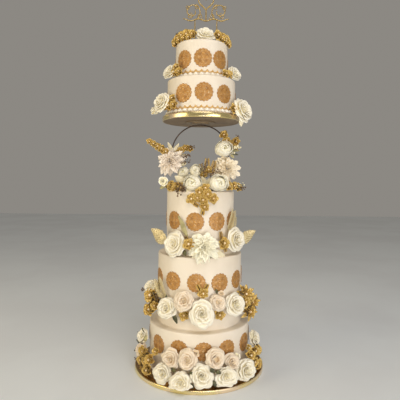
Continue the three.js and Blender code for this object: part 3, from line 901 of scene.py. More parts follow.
def bouquet_tree() -> NodeTree:
    """Copies of a few pieces on the carrier's points, turned and sized by its attributes."""
    opened = open_growth("wired_bouquet", {"Geometry": "geometry", "Pieces": "collection"})
    net, given, _ = opened
    return planted(opened, {
        "Points": given["Geometry"], "Instance": net.pieces_of(given["Pieces"]), "Pick Instance": True,
        "Instance Index": net.named("kind", "INT"), "Rotation": net.turned(net.named("turn", "FLOAT_VECTOR")),
        "Scale": net.named("size", "FLOAT")})


def dressing_tree() -> NodeTree:
    """Small pieces scattered over the carrier's surface, each standing on it."""
    opened = open_growth("scattered_dressing", {
        "Geometry": "geometry", "Pieces": "collection", "Kinds": "int", "Spacing": "float",
        "Smallest": "float", "Largest": "float", "Seed": "int"})
    net, given, _ = opened
    seed = given["Seed"]
    feeds = {"Mesh": given["Geometry"], "Distance Min": given["Spacing"], "Density Max": MOST_PER_AREA,
             "Seed": seed}
    spread = net.node("GeometryNodeDistributePointsOnFaces", feeds, distribute_method="POISSON")
    spin = {"Axis": (0.0, 0.0, 1.0), "Angle": net.drawn(0.0, WHOLE_SPIN, seed, 1)}
    feeds = {"Rotation": spread.outputs["Rotation"],
             "Rotate By": net.first("FunctionNodeAxisAngleToRotation", spin)}
    turned = net.first("FunctionNodeRotateRotation", feeds, rotation_space="LOCAL")
    return planted(opened, {
        "Points": spread.outputs["Points"], "Instance": net.pieces_of(given["Pieces"]), "Pick Instance": True,
        "Instance Index": net.math("FLOOR", net.drawn(0.0, given["Kinds"], seed, 2)), "Rotation": turned,
        "Scale": net.drawn(given["Smallest"], given["Largest"], seed, 3)})


def grown(build: Callable[[], NodeTree], carrier_mesh: Mesh | None, name: str, finish: Finish,
          values: dict[str, object]) -> Mesh:
    """Runs a geometry tree on a carrier and keeps the result as a plain mesh.

    Args:
        build: makes the tree.
        carrier_mesh: what the tree works on, for a tree that takes a geometry.
        name: the new mesh's name.
        finish: of everything but pearls.
        values: the tree's other inputs, by name.

    Returns:
        The evaluated mesh, with every instance made real.
    """
    carrier = piece_of(carrier_mesh or bpy.data.meshes.new(name), name + "_carrier")
    modifier = carrier.modifiers.new("growth", "NODES")
    modifier.node_group = group(build)
    values = values | {"Material": dressed(finish), "Pearl Material": dressed(CHAMPAGNE)}
    for item in modifier.node_group.interface.items_tree:
        if item.in_out == "INPUT" and item.name in values:
            modifier[item.identifier] = values[item.name]
    graph = bpy.context.evaluated_depsgraph_get()
    result = carrier.evaluated_get(graph)
    made = bpy.data.meshes.new_from_object(result, preserve_all_data_layers=True, depsgraph=graph)
    carrier.modifiers.remove(modifier)
    bpy.data.objects.remove(carrier)
    made.name = name
    return made


class Workbench:
    """Keeps the small pieces that geometry trees copy, out of sight, until the cake is done."""

    def __init__(self) -> None:
        """Starts with nothing on it."""
        self.objects: list[Object] = []
        self.trays: list[Collection] = []

    def hold(self, mesh: Mesh, name: str, tray: Collection | None = None) -> Object:
        """Puts a mesh on the bench as an object that isn't rendered."""
        made = bpy.data.objects.new(name, mesh)
        (tray or bpy.context.scene.collection).objects.link(made)
        made.hide_render = True
        self.objects.append(made)
        return made

    def tray(self, name: str, meshes: Sequence[Mesh]) -> Collection:
        """A collection of pieces that a tree picks from by number."""
        tray = bpy.data.collections.new(name)
        bpy.context.scene.collection.children.link(tray)
        self.trays.append(tray)
        for number, mesh in enumerate(meshes):
            self.hold(mesh, f"{name}_{number}", tray)
        return tray

    def clear(self) -> None:
        """Takes everything off the bench."""
        for made in self.objects:
            bpy.data.objects.remove(made)
        for tray in self.trays:
            bpy.data.collections.remove(tray)


BENCH = Workbench()


def with_pearl(mesh: Mesh, radius: float, height: float, sides: int) -> Mesh:
    """Adds a pearl to a flower's mesh, marked so that trees give it its own material.

    Args:
        mesh: the flower.
        radius: of the pearl.
        height: of its middle.
        sides: faces round it.

    Returns:
        A new mesh of both.
    """
    first = len(mesh.vertices)
    pearl = ball(radius, sides, sides // 2).placed((0, 0, height))
    joined = bmesh.new()
    joined.from_mesh(mesh)
    joined.from_mesh(pearl.mesh("pearl"))
    made = bpy.data.meshes.new(mesh.name)
    joined.to_mesh(made)
    joined.free()
    mark(made, "pearl", "FLOAT", np.arange(len(made.vertices)) >= first)
    made.shade_smooth()
    return made


# ---- petals and flowers ---------------------------------------------------------


@dataclass(frozen=True)
class Whorl:
    """One ring of rose petals, for a flower whose radius is one.

    Attributes:
        petals: how many.
        start: how far from the axis their feet stand.
        foot: height of their feet.
        length: from foot to rim.
        lean: degrees from the axis at the foot.
        flare: degrees more towards the rim.
        spread: half of a petal's width, in degrees round the axis.
        curl: degrees that the rim turns over.
        ease: 1 for a petal that bends evenly, more for one that bends towards its rim.
    """

    petals: int
    start: float
    foot: float
    length: float
    lean: float
    flare: float
    spread: float
    curl: float
    ease: float = 1.3


def globe_whorl(petals: int, radius: float, opening: float, spread: float) -> Whorl:
    """A ring of petals that follow a ball from its foot to an opening round its top.

    Args:
        petals: how many.
        radius: of the ball.
        opening: degrees from the axis at which they end.
        spread: half of a petal's width, in degrees.

    Returns:
        The whorl.
    """
    foot = 152.0
    sweep = foot - opening
    start, height = radius * math.sin(math.radians(foot)), radius * math.cos(math.radians(foot))
    return Whorl(petals, start, height, radius * math.radians(sweep), foot - 90, -sweep, spread, 30, ease=1.0)


class Bloom(Enum):
    """The kinds of flower on the cake."""

    ROSE = "rose"
    OPEN_ROSE = "open_rose"
    HOLLOW_ROSE = "hollow_rose"
    BALL = "ball"
    BUD = "bud"
    GOLD = "gold"
    BURST = "burst"
    STAR_DAHLIA = "star_dahlia"
    ROUND_DAHLIA = "round_dahlia"
    LONG_DAHLIA = "long_dahlia"


ROSE_WHORLS = {
    Bloom.ROSE: (
        Whorl(3, 0.05, -0.2, 0.78, 6, -8, 80, 10), Whorl(3, 0.08, -0.25, 0.84, 10, -2, 74, 22),
        Whorl(4, 0.1, -0.3, 0.92, 16, 8, 62, 34), Whorl(4, 0.1, -0.35, 0.98, 24, 18, 60, 44),
        Whorl(5, 0.1, -0.4, 1.06, 32, 30, 52, 56), Whorl(5, 0.1, -0.45, 1.12, 42, 38, 50, 62),
    ),
    Bloom.OPEN_ROSE: (
        Whorl(3, 0.05, -0.2, 0.6, 6, -6, 80, 14), Whorl(4, 0.08, -0.22, 0.64, 14, 4, 66, 26),
        Whorl(5, 0.1, -0.28, 0.78, 26, 10, 54, 40), Whorl(5, 0.1, -0.35, 0.98, 34, 14, 54, 52),
        Whorl(5, 0.12, -0.42, 1.08, 44, 26, 50, 62), Whorl(6, 0.12, -0.45, 1.12, 54, 32, 44, 66),
    ),
    Bloom.HOLLOW_ROSE: (
        Whorl(4, 0.2, -0.2, 0.62, 8, 4, 62, 60), Whorl(4, 0.24, -0.28, 0.74, 16, 10, 60, 52),
        Whorl(5, 0.2, -0.35, 0.86, 28, 20, 52, 56), Whorl(5, 0.16, -0.42, 1.0, 38, 30, 52, 62),
        Whorl(6, 0.14, -0.45, 1.06, 50, 34, 44, 66),
    ),
    Bloom.BALL: (
        globe_whorl(3, 0.78, 8, 70), globe_whorl(3, 0.82, 17, 66), globe_whorl(4, 0.86, 27, 58),
        globe_whorl(4, 0.9, 37, 54), globe_whorl(5, 0.93, 48, 46), globe_whorl(5, 0.97, 60, 46),
        globe_whorl(6, 1.0, 74, 40),
    ),
    Bloom.BUD: (
        Whorl(3, 0.03, -0.3, 0.95, 20, -34, 84, 8), Whorl(3, 0.06, -0.4, 1.1, 34, -50, 80, 12),
        Whorl(4, 0.1, -0.5, 1.1, 48, -30, 62, 40),
    ),
}


def petal_grid(whorl: Whorl, turn: float, rng: np.random.Generator, ruffle: float,
               rows: int = 9, columns: int = 11) -> np.ndarray:
    """The middle surface of one rose petal.

    Args:
        whorl: the ring that it stands in.
        turn: radians round the axis.
        rng: draws its unevenness.
        ruffle: how far its rim waves.
        rows: grid points from foot to rim.
        columns: grid points across.

    Returns:
        rows by columns by three points, for a flower whose radius is one.
    """
    steps = np.linspace(0, 1, 33)
    rolled = np.clip((steps - 0.74) / 0.26, 0, 1) ** 1.3
    lean = whorl.lean + rng.uniform(-5, 5)
    angle = np.radians(lean + whorl.flare * steps ** whorl.ease + whorl.curl * rolled)
    length = whorl.length * rng.uniform(0.94, 1.05)
    middle = (steps[1:] + steps[:-1]) / 2
    bend = np.interp(middle, steps, angle)
    radius = whorl.start + np.concatenate([[0], np.cumsum(np.sin(bend))]) * length / 32
    height = whorl.foot + np.concatenate([[0], np.cumsum(np.cos(bend))]) * length / 32
    u = np.linspace(-1, 1, columns)[None, :]
    v = np.linspace(0, 1, rows)[:, None] ** 0.9
    skew = rng.uniform(-0.05, 0.05)
    reach = v * (1 - 0.2 * np.abs(u) ** 2.6 + skew * u + 0.035 * np.exp(-(u / 0.22) ** 2))
    r = np.interp(reach, steps, radius)
    z = np.interp(reach, steps, height)
    half = math.radians(whorl.spread) * (0.5 + 0.5 * np.sin(np.minimum(reach / 0.6, 1) * math.pi / 2))
    rim = np.clip((reach - 0.45) / 0.55, 0, 1) ** 1.5
    phase, waves = rng.uniform(0, 2 * math.pi), rng.uniform(1.3, 2.3)
    wave = ruffle * rim * np.sin(math.pi * waves * u + phase)
    r = r + 0.05 * u * reach + wave * 0.7 - 0.05 * rim * np.abs(u) ** 2
    z = z + 0.6 * wave * np.cos(phase) - 0.05 * rim * np.abs(u) ** 3
    around_axis = turn + u * half
    return np.stack([r * np.sin(around_axis), -r * np.cos(around_axis), z + 0 * around_axis], -1)


def scroll_bud(turns: float, width: float, foot: float, top: float, hollow: float) -> np.ndarray:
    """The wound petal in a rose's heart, as a grid."""
    t = np.linspace(0, 1, 26)[None, :]
    v = np.linspace(0, 1, 5)[:, None]
    angle = 2 * math.pi * turns * t
    r = (hollow + (width - hollow) * t) * (0.7 + 0.3 * v) + 0.02 * v ** 3
    z = foot + (top - foot) * v * (1 - 0.12 * (1 - t)) + 0.02 * np.sin(3 * angle) * v
    return np.stack([r * np.sin(angle), -r * np.cos(angle), z + 0 * angle], -1)


def rose(kind: Bloom, seed: int, ruffle: float) -> Form:
    """A whole rose whose radius is one, looking along +Z.

    Args:
        kind: which ring of whorls it has.
        seed: of its own unevenness.
        ruffle: how far the rims wave.

    Returns:
        The flower, with a closed base behind its petals.
    """
    rng = np.random.default_rng(seed)
    whorls = ROSE_WHORLS[kind]
    forms = []
    thickness = 0.028
    if kind is not Bloom.HOLLOW_ROSE:
        top = {Bloom.OPEN_ROSE: 0.34, Bloom.BALL: 0.82, Bloom.BUD: 0.5}.get(kind, 0.52)
        forms.append(sheet(scroll_bud(1.7, 0.15, -0.2, top, 0.02), thickness, 0.0))
    turn = rng.uniform(0, 2 * math.pi)
    for ring, whorl in enumerate(whorls):
        share = (ring + 1) / len(whorls)
        for k in range(whorl.petals):
            place = turn + 2 * math.pi * (k + rng.uniform(-0.08, 0.08)) / whorl.petals
            grid = petal_grid(whorl, place, rng, ruffle * (0.35 + 0.65 * share))
            forms.append(sheet(grid, thickness, share))
        turn += math.pi / whorl.petals + 0.35
    filled = {Bloom.BALL: 0.6, Bloom.HOLLOW_ROSE: -0.1}.get(kind, 0.14)
    forms.append(lathe([(0, -0.7), (0.14, -0.68), (0.34, -0.5), (0.5, -0.25), (0.56, filled - 0.2),
                        (0.45, filled - 0.05), (0.2, filled), (0, filled)], 14))
    return Form.joined(forms)


@dataclass(frozen=True)
class PetalShape:
    """A single dahlia or gold petal that stands on the origin along +Z.

    Attributes:
        width: at its widest, for a length of one.
        widest: where along it that is.
        point: 0.5 for a round tip, 1 or more for a sharp one.
        cup: how far the sides rise towards the flower's axis.
        arch: how far the tip bends outward.
        thickness: of the petal.
    """

    width: float
    widest: float
    point: float
    cup: float
    arch: float
    thickness: float = 0.03
    rows: int = 7
    columns: int = 5

    def form(self) -> Form:
        """Builds the petal."""
        v = np.linspace(0, 1, self.rows)[:, None]
        u = np.linspace(-1, 1, self.columns)[None, :]
        bent = v ** (math.log(0.5) / math.log(self.widest))
        half = self.width / 2 * (0.12 + 0.88 * np.sin(math.pi * np.clip(bent, 0, 1)) ** self.point)
        x = half * u * (1 - 0.75 * (v > 0.999))
        y = self.cup * half * (np.abs(u) ** 1.6) * 1.6 - self.arch * v ** 2.2
        y = y + 0.02 * np.cos(5 * math.pi * u) * v
        return outward_facing(sheet(np.stack([x, y + 0 * x, v + 0 * x], -1), self.thickness))


@dataclass(frozen=True)
class WhorledFlower:
    """A flower of equal petals in rings, for a radius of one.

    Tilts are degrees from the axis, and the other pairs are shares of the radius.
    """

    name: str
    petal: PetalShape
    petals: int
    whorls: int
    tilt: tuple[float, float]
    size: tuple[float, float]
    radius: tuple[float, float]
    height: tuple[float, float]
    unevenness: float

    def mesh(self, seed: int, finish: Petals | Gilding) -> Mesh:
        """Grows the flower.

        Args:
            seed: of its unevenness.
            finish: its petals' material.

        Returns:
            A mesh that is 1 mm in radius.
        """
        source = BENCH.hold(self.petal.form().mesh(f"{self.name}_petal"), f"{self.name}_petal_{seed}")
        values = {"Petal": source, "Petals": self.petals, "Whorls": self.whorls,
                  "Unevenness": self.unevenness, "Seed": seed}
        pairs = ([math.radians(tilt) for tilt in self.tilt], self.size, [MM * share for share in self.radius],
                 [MM * share for share in self.height])
        for span, pair in zip(SPANS, pairs):
            values |= {"Inner " + span: pair[0], "Outer " + span: pair[1]}
        return grown(whorl_tree, None, f"{self.name}_{seed}", finish, values)


GOLD_FLOWER = WhorledFlower(
    "gold_flower", PetalShape(width=0.86, widest=0.62, point=0.6, cup=0.5, arch=0.12, thickness=0.07),
    petals=5, whorls=3, tilt=(26, 70), size=(0.62, 1.0), radius=(0.1, 0.1), height=(-0.1, -0.32),
    unevenness=0.12)
SMALL_GOLD = WhorledFlower(
    "small_gold", PetalShape(0.8, 0.62, point=0.6, cup=0.5, arch=0.1, thickness=0.09, rows=4, columns=3),
    petals=5, whorls=2, tilt=(30, 66), size=(0.7, 1.0), radius=(0.1, 0.1), height=(-0.1, -0.25),
    unevenness=0.15)
GOLD_BURST = WhorledFlower(
    "gold_burst", PetalShape(width=0.38, widest=0.45, point=1.0, cup=0.5, arch=0.05, thickness=0.06),
    petals=8, whorls=4, tilt=(16, 92), size=(0.55, 1.15), radius=(0.08, 0.1), height=(0.0, -0.3),
    unevenness=0.16)
STAR_DAHLIA = WhorledFlower(
    "star_dahlia", PetalShape(width=0.36, widest=0.6, point=0.65, cup=0.6, arch=0.05),
    petals=13, whorls=7, tilt=(8, 106), size=(0.3, 0.98), radius=(0.03, 0.16), height=(0.18, -0.24),
    unevenness=0.22)
ROUND_DAHLIA_FLOWER = WhorledFlower(
    "round_dahlia", PetalShape(width=0.4, widest=0.68, point=0.55, cup=0.5, arch=0.02),
    petals=12, whorls=8, tilt=(6, 104), size=(0.32, 0.8), radius=(0.03, 0.28), height=(0.34, -0.16),
    unevenness=0.2)
LONG_DAHLIA = WhorledFlower(
    "long_dahlia", PetalShape(width=0.4, widest=0.62, point=0.52, cup=0.75, arch=0.1),
    petals=10, whorls=7, tilt=(8, 108), size=(0.34, 1.0), radius=(0.03, 0.14), height=(0.2, -0.22),
    unevenness=0.24)
WHORLED = {
    Bloom.STAR_DAHLIA: (STAR_DAHLIA, PINK_DAHLIA, Slot.BLUSH),
    Bloom.ROUND_DAHLIA: (ROUND_DAHLIA_FLOWER, ROUND_DAHLIA, Slot.BLUSH),
    Bloom.LONG_DAHLIA: (LONG_DAHLIA, WHITE_DAHLIA, Slot.WHITE),
}
GOLD_SEEDS = (3, 11, 27)
GILDED = (Bloom.GOLD, Bloom.BURST)


@lru_cache(maxsize=None)
def gold_flower_tray() -> Collection:
    """Three cupped and three spiky gold flowers of 1 mm radius, each with a pearl in its cup."""
    return BENCH.tray("gold_flowers", [
        with_pearl(form.mesh(seed, GOLD_PETALS), radius=0.22, height=0.12, sides=10)
        for form in (GOLD_FLOWER, GOLD_BURST) for seed in GOLD_SEEDS])


@lru_cache(maxsize=None)
def dressing_tray() -> Collection:
    """What fills the gold clusters: a small flower twice, a spray of beads and two leaf tufts."""
    small = with_pearl(SMALL_GOLD.mesh(5, GOLD_PETALS), radius=0.2, height=0.1, sides=8)
    beads = Form.joined(bead_spray(radius=0.17, reach=0.95, seed=8)).mesh("bead_spray")
    tufts = [Form.joined(leaf_tuft(*shape)).mesh("tuft") for shape in ((6, 40, 46), (9, 62, 49))]
    return BENCH.tray("dressing", [small, beads, *tufts, small.copy()])


def bead_spray(radius: float, reach: float, seed: int) -> list[Form]:
    """A few beads on short wires that leave the origin upward, for a size of one."""
    rng = np.random.default_rng(seed)
    forms = []
    for k in range(6):
        turn = 2 * math.pi * k / 6 + rng.uniform(-0.3, 0.3)
        lean = math.radians(rng.uniform(10, 58))
        tip = reach * rng.uniform(0.7, 1.0) * np.array(
            [math.sin(lean) * math.sin(turn), -math.sin(lean) * math.cos(turn), math.cos(lean)])
        forms.append(tube([(0, 0, -0.1), tip * 0.5, tip], [0.04, 0.035, 0.03], sides=4))
        forms.append(ball(radius * rng.uniform(0.8, 1.1), 8, 3).placed(tip))
    return forms


def leaf_tuft(count: int, lean: float, seed: int) -> list[Form]:
    """Narrow pointed leaves that spring from the origin, for a size of one."""
    rng = np.random.default_rng(seed)
    forms = []
    for k in range(count):
        tilt = math.radians(lean + rng.uniform(-14, 14))
        turn = Euler((tilt, 0, 2 * math.pi * k / count + rng.uniform(-0.2, 0.2)))
        blade = spindle(0.26, 0.1, rng.uniform(0.9, 1.25), sides=5, rows=3)
        forms.append(blade.placed((0, 0, -0.1), turn.to_matrix()))
    return forms


# ---- leaves, twigs and berries --------------------------------------------------


class LeafKind(Enum):
    """The kinds of leaf on the cake."""

    RIBBED = "ribbed"
    FERN = "fern"
    OLIVE = "olive"
    CREAM = "cream"
    SAGE = "sage"
    LACE = "lace"


RIBBED, FERN, OLIVE, CREAM, SAGE, LACE = LeafKind
LEAF_FINISH = {
    RIBBED: (PALE_GOLD_LEAF, Slot.LEAF_GOLD),
    FERN: (PALE_GOLD_LEAF, Slot.LEAF_GOLD),
    OLIVE: (OLIVE_LEAF, Slot.LEAF_OLIVE),
    CREAM: (CREAM_LEAF, Slot.LEAF_GOLD),
    SAGE: (SAGE_LEAF, Slot.LEAF_OLIVE),
    LACE: (GOLD_PETALS, Slot.GOLD),
}


@dataclass(frozen=True)
class Leaf:
    """One leaf from its root to its tip; both are places on the cake.

    Attributes:
        kind: its form.
        root: where it leaves the flowers.
        tip: its point.
        width: at its widest.
        wave: how far it bends out of its plane, as a share of its length.
        face: the azimuth that its upper side looks to; its root's own azimuth where none is given.
    """

    kind: LeafKind
    root: Triple
    tip: Triple
    width: float
    wave: float = 0.05
    face: float | None = None

    def form(self) -> Form:
        """Builds the leaf."""
        root, tip = np.array(self.root), np.array(self.tip)
        along = tip - root
        face = unit(np.array([root[0], root[1], 0.0])) if self.face is None else outward(self.face)
        across = unit(np.cross(along, face))
        normal = unit(np.cross(across, along))
        if self.kind in (FERN, LACE):
            return self.fern(root, along, across, normal)
        return self.blade(root, along, across, normal)

    def blade(self, root: np.ndarray, along: np.ndarray, across: np.ndarray, normal: np.ndarray) -> Form:
        """A leaf with a midrib; ribbed leaves have side ribs and a toothed edge."""
        ribbed = self.kind is RIBBED
        rows, columns = (45, 15) if ribbed else (15, 7)
        v = np.linspace(0, 1, rows)[:, None]
        u = np.linspace(-1, 1, columns)[None, :]
        half = self.width / 2 * np.sin(math.pi * np.clip(0.04 + 0.95 * v ** 0.8, 0, 1)) ** 0.8
        rib = 0 * u * v
        if ribbed:
            teeth = 1 - (v * 8) % 1
            half = half * (0.8 + 0.24 * teeth)
            rib = 1 - np.abs((((v * 8 - np.abs(u) * 2.2) % 1) - 0.5) * 2)
        length = float(np.linalg.norm(along))
        lift = self.wave * length * np.sin(2 * math.pi * v) - 0.16 * half * np.abs(u)
        lift = lift + 0.9 * rib * (1 - np.abs(u) ** 4)
        lift = lift + 0.05 * half * np.sin(7 * math.pi * v) * u ** 2
        grid = (root + v[..., None] * along + (half * u)[..., None] * across + lift[..., None] * normal)
        made = sheet(grid, 1.1)
        # The ribs' relief also sets the gilded leaf's painted shade between the ribs and its painted
        # highlight on them.
        relief = (0.1 + 0.9 * rib).reshape(-1)
        made.marks[:, 2] = np.concatenate([relief, relief])
        return made

    def fern(self, root: np.ndarray, along: np.ndarray, across: np.ndarray, normal: np.ndarray) -> Form:
        """A stem with pairs of narrow leaflets that shorten towards the tip."""
        length = float(np.linalg.norm(along))
        pairs = max(7, int(length / 5))

        def stem(t: float) -> np.ndarray:
            """The point of the bowed stem at a share of its length."""
            return root + along * t + normal * self.wave * length * math.sin(math.pi * t)

        forms = [tube([stem(t) for t in np.linspace(0, 1, 9)], np.linspace(0.9, 0.4, 9), sides=5)]
        for k in range(pairs):
            t = 0.08 + 0.88 * k / pairs
            reach = self.width * (0.35 + 0.45 * math.sin(math.pi * (0.15 + 0.8 * t)))
            for side in (-1, 1):
                ahead = unit(unit(along) * 0.75 + across * side * 0.8 + normal * 0.15)
                turn = Matrix(np.stack([unit(np.cross(normal, ahead)), normal, ahead], -1).tolist())
                leaflet = spindle(3.4, 1.2, reach, sides=6, rows=4).placed(stem(t), turn)
                forms.append(outward_facing(leaflet))
        made = Form.joined(forms)
        # Relief rising along each leaflet gives the gilding painted shade at the leaflet roots and painted
        # highlight at the tips.
        made.marks[:, 2] = 0.4 + 0.5 * made.marks[:, 1]
        return made


def wall_leaf(kind: LeafKind, root: Sequence[float], tip: Sequence[float], width: float,
              face: float | None = None) -> Leaf:
    """A leaf whose root and tip are given as azimuth, distance and height."""
    return Leaf(kind, tuple(around(*root)), tuple(around(*tip)), width, face=face)


@dataclass(frozen=True)
class Sprig:
    """Berries on side twigs along a bowed stem.

    Attributes:
        root: where the stem starts.
        tip: where it ends.
        berries: how many.
        berry: radius of one.
        reach: how far the side twigs stand off the stem.
        seed: of its unevenness.
        finish: of the berries.
        slot: of the berries.
    """

    root: Triple
    tip: Triple
    berries: int = 14
    berry: float = 2.6
    reach: float = 12.0
    seed: int = 1
    finish: Plain | Petals | Gilding = BROWN_BERRY
    slot: Slot = Slot.BERRIES

    def forms(self) -> tuple[Form, np.ndarray]:
        """Builds the twigs and finds where the berries sit."""
        rng = np.random.default_rng(self.seed)
        root, tip = np.array(self.root, float), np.array(self.tip, float)
        along = tip - root
        bow = np.array([0.0, -0.08, 0.1]) * float(np.linalg.norm(along))
        stem = [root + along * t + bow * math.sin(math.pi * t) for t in np.linspace(0, 1, 7)]
        forms = [tube(stem, np.linspace(0.9, 0.5, 7), sides=5)]
        places = [stem[-1]]
        for k in range(self.berries - 1):
            t = 0.25 + 0.75 * (k + rng.uniform(0, 1)) / self.berries
            start = root + along * t + bow * math.sin(math.pi * t)
            away = rng.normal(size=3)
            away[1] = -abs(away[1]) * 0.8
            end = start + unit(away + unit(along) * 0.6) * self.reach * rng.uniform(0.5, 1.0)
            forms.append(tube([start, (start + end) / 2 + (0, 0, 1), end], [0.5, 0.4, 0.35], sides=4))
            places.append(end)
        return Form.joined(forms), np.array(places)


def bouquet(tray: Collection, name: str, finish: Finish, places: Sequence, turns: Sequence, sizes: Sequence,
            kinds: Sequence[int]) -> Object:
    """Copies the pieces of a tray to places on the cake.

    Args:
        tray: the pieces, 1 mm in radius.
        name: the new object's name.
        finish: of everything but pearls.
        places: one row a copy, millimetres.
        turns: Euler angles of each copy.
        sizes: radius of each copy, millimetres.
        kinds: which piece each copy is.

    Returns:
        The copies as one plain object.
    """
    carrier = bpy.data.meshes.new(name + "_places")
    carrier.from_pydata((np.asarray(places) * MM).tolist(), [], [])
    mark(carrier, "turn", "FLOAT_VECTOR", turns)
    mark(carrier, "size", "FLOAT", sizes)
    mark(carrier, "kind", "INT", kinds)
    return piece_of(grown(bouquet_tree, carrier, name, finish, {"Pieces": tray}), name)


def wall_sprig(root: Sequence[float], tip: Sequence[float], *shape: float) -> Sprig:
    """A sprig whose root and tip are given as azimuth, distance and height."""
    return Sprig(tuple(around(*root)), tuple(around(*tip)), *shape)


@lru_cache(maxsize=None)
def berry_tray() -> Collection:
    """One berry of 1 mm radius, with a small dimple at its end."""
    berry = lathe([(0, -1), (0.6, -0.8), (0.97, -0.2), (0.94, 0.35), (0.55, 0.86), (0.2, 0.94), (0, 0.82)], 8)
    return BENCH.tray("berries", [berry.mesh("berry")])


# ---- the cake's structure -------------------------------------------------------


@dataclass(frozen=True)
class Board:
    """A round cake board wrapped in foil, with paper on its underside that is painted dark taupe for the
    shade under the board.

    Attributes:
        node: the node that it stands for.
        radius: of the board.
        bottom: height of its underside.
        top: height of its upper face.
        edge: radius of its rounded rim.
        sides: faces round it.
        PAPER_INSET: how far the paper lies inside the foil's fold.
    """

    PAPER_INSET: ClassVar[float] = 0.4

    node: str
    radius: float
    bottom: float
    top: float
    edge: float = 2.2
    sides: int = 160

    def build(self) -> Object:
        """Builds the board and gives each face its foil or paper."""
        r, e = self.radius, self.edge
        corner = [(math.sin(a), math.cos(a)) for a in np.linspace(0, math.pi / 2, 5)]
        low = [(r - e + e * s, self.bottom + e - e * c) for s, c in corner]
        high = [(r - e + e * s, self.top - e + e * c) for s, c in reversed(corner)]
        paper = self.bottom + self.PAPER_INSET
        inner = [(0, self.bottom), (0.3 * r, self.bottom), (0.31 * r, paper), (r - 9, paper),
                 (r - 8, self.bottom)]
        form = lathe([*inner, *low, *high, (0.5 * r, self.top), (0, self.top)], self.sides)
        made = form.piece(self.node + "_foiled", RIM_FOIL)
        # The upper face gets the darker foil, which is painted shade.
        made.data.materials.append(dressed(SHADED_TOP_FOIL))
        # The underside gets the dark paper, which is painted shade.
        made.data.materials.append(dressed(SHADED_PAPER))
        for face in made.data.polygons:
            middle = face.center.to_2d().length / MM
            if middle < r - e and abs(face.normal.z) > 0.5:
                face.material_index = 1 if face.normal.z > 0 else 2
        return settle(made, Slot.FOIL, self.node)


@dataclass(frozen=True)
class Medallions:
    """Sugar-lace discs laid round a tier.

    Attributes:
        height: of their middles.
        azimuths: where each one sits.
        radius: of a disc.
        relief: how far its crests stand out.
        lobes: scallops round its edge.
    """

    height: float
    azimuths: tuple[float, ...]
    radius: float = 28.0
    relief: float = 2.9
    lobes: int = 16

    def disc(self, wall: float, rings: int = 22, sides: int = 96) -> Form:
        """One disc bent round a wall of that radius, at azimuth 0."""
        share = np.linspace(0, 1, rings)[1:, None]
        turn = (np.arange(sides) * 2 * math.pi / sides)[None, :]
        lobe = np.abs(np.cos(self.lobes * turn / 2)) ** 0.6
        edge = self.radius * (0.905 + 0.095 * lobe)

        def ridge(middle: float, width: float) -> np.ndarray:
            """A raised ring at a share of the disc's reach."""
            return np.exp(-((share - middle) / width) ** 2)

        relief = 0.34 + 0.42 * ridge(0.93, 0.05) * (0.55 + 0.45 * lobe) + 0.34 * ridge(0.7, 0.035)
        relief += 0.32 * ridge(0.815, 0.045) * np.abs(np.sin(self.lobes * turn / 2))
        petals = np.clip(np.cos(4 * turn), 0, 1) ** 0.5
        relief += 0.4 * petals * ridge(0.46, 0.13) + 0.26 * ridge(0.26, 0.04) + 0.5 * ridge(0.0, 0.12)
        relief += 0.12 * np.sin(24 * turn) * np.sin(42 * share) * smooth(share, 0.15, 0.5)
        relief = np.clip(relief, 0.05, 1.0) * (1 - 0.55 * smooth(share, 0.97, 1.0))
        reach = edge * share
        x, z = reach * np.sin(turn), -reach * np.cos(turn)
        back = wall - 0.8
        middle = [np.array([0, -(wall + self.relief * 0.8), 0])]

        def bent(x: np.ndarray, z: np.ndarray, depth: np.ndarray) -> np.ndarray:
            """Flat places laid round the wall, at a distance from the axis."""
            return np.stack([depth * np.sin(x / wall), -depth * np.cos(x / wall), z], -1).reshape(-1, 3)

        front = bent(x, z, wall + self.relief * relief)
        rear = bent(x[-1:], z[-1:], np.full_like(x[-1:], back))
        rows = rings - 1
        points = np.concatenate([front, rear, middle, [[0, -back, 0]]])
        faces: list[tuple[int, ...]] = []
        hub, pin = (rows + 1) * sides, (rows + 1) * sides + 1
        for j in range(sides):
            after = (j + 1) % sides
            faces.append((hub, j, after))
            faces.append((pin, rows * sides + after, rows * sides + j))
            for i in range(rows):
                faces.append((i * sides + j, (i + 1) * sides + j, (i + 1) * sides + after, i * sides + after))
        made = outward_facing(Form.bare(points, faces))
        # The relief also sets the lace's colour: painted shade in the low parts and painted highlight on the
        # crests.
        heights = np.concatenate([relief.reshape(-1), np.full(sides, 0.1), [0.9, 0.1]])
        made.marks[:, 2] = heights
        made.points[:, 2] += self.height
        return made


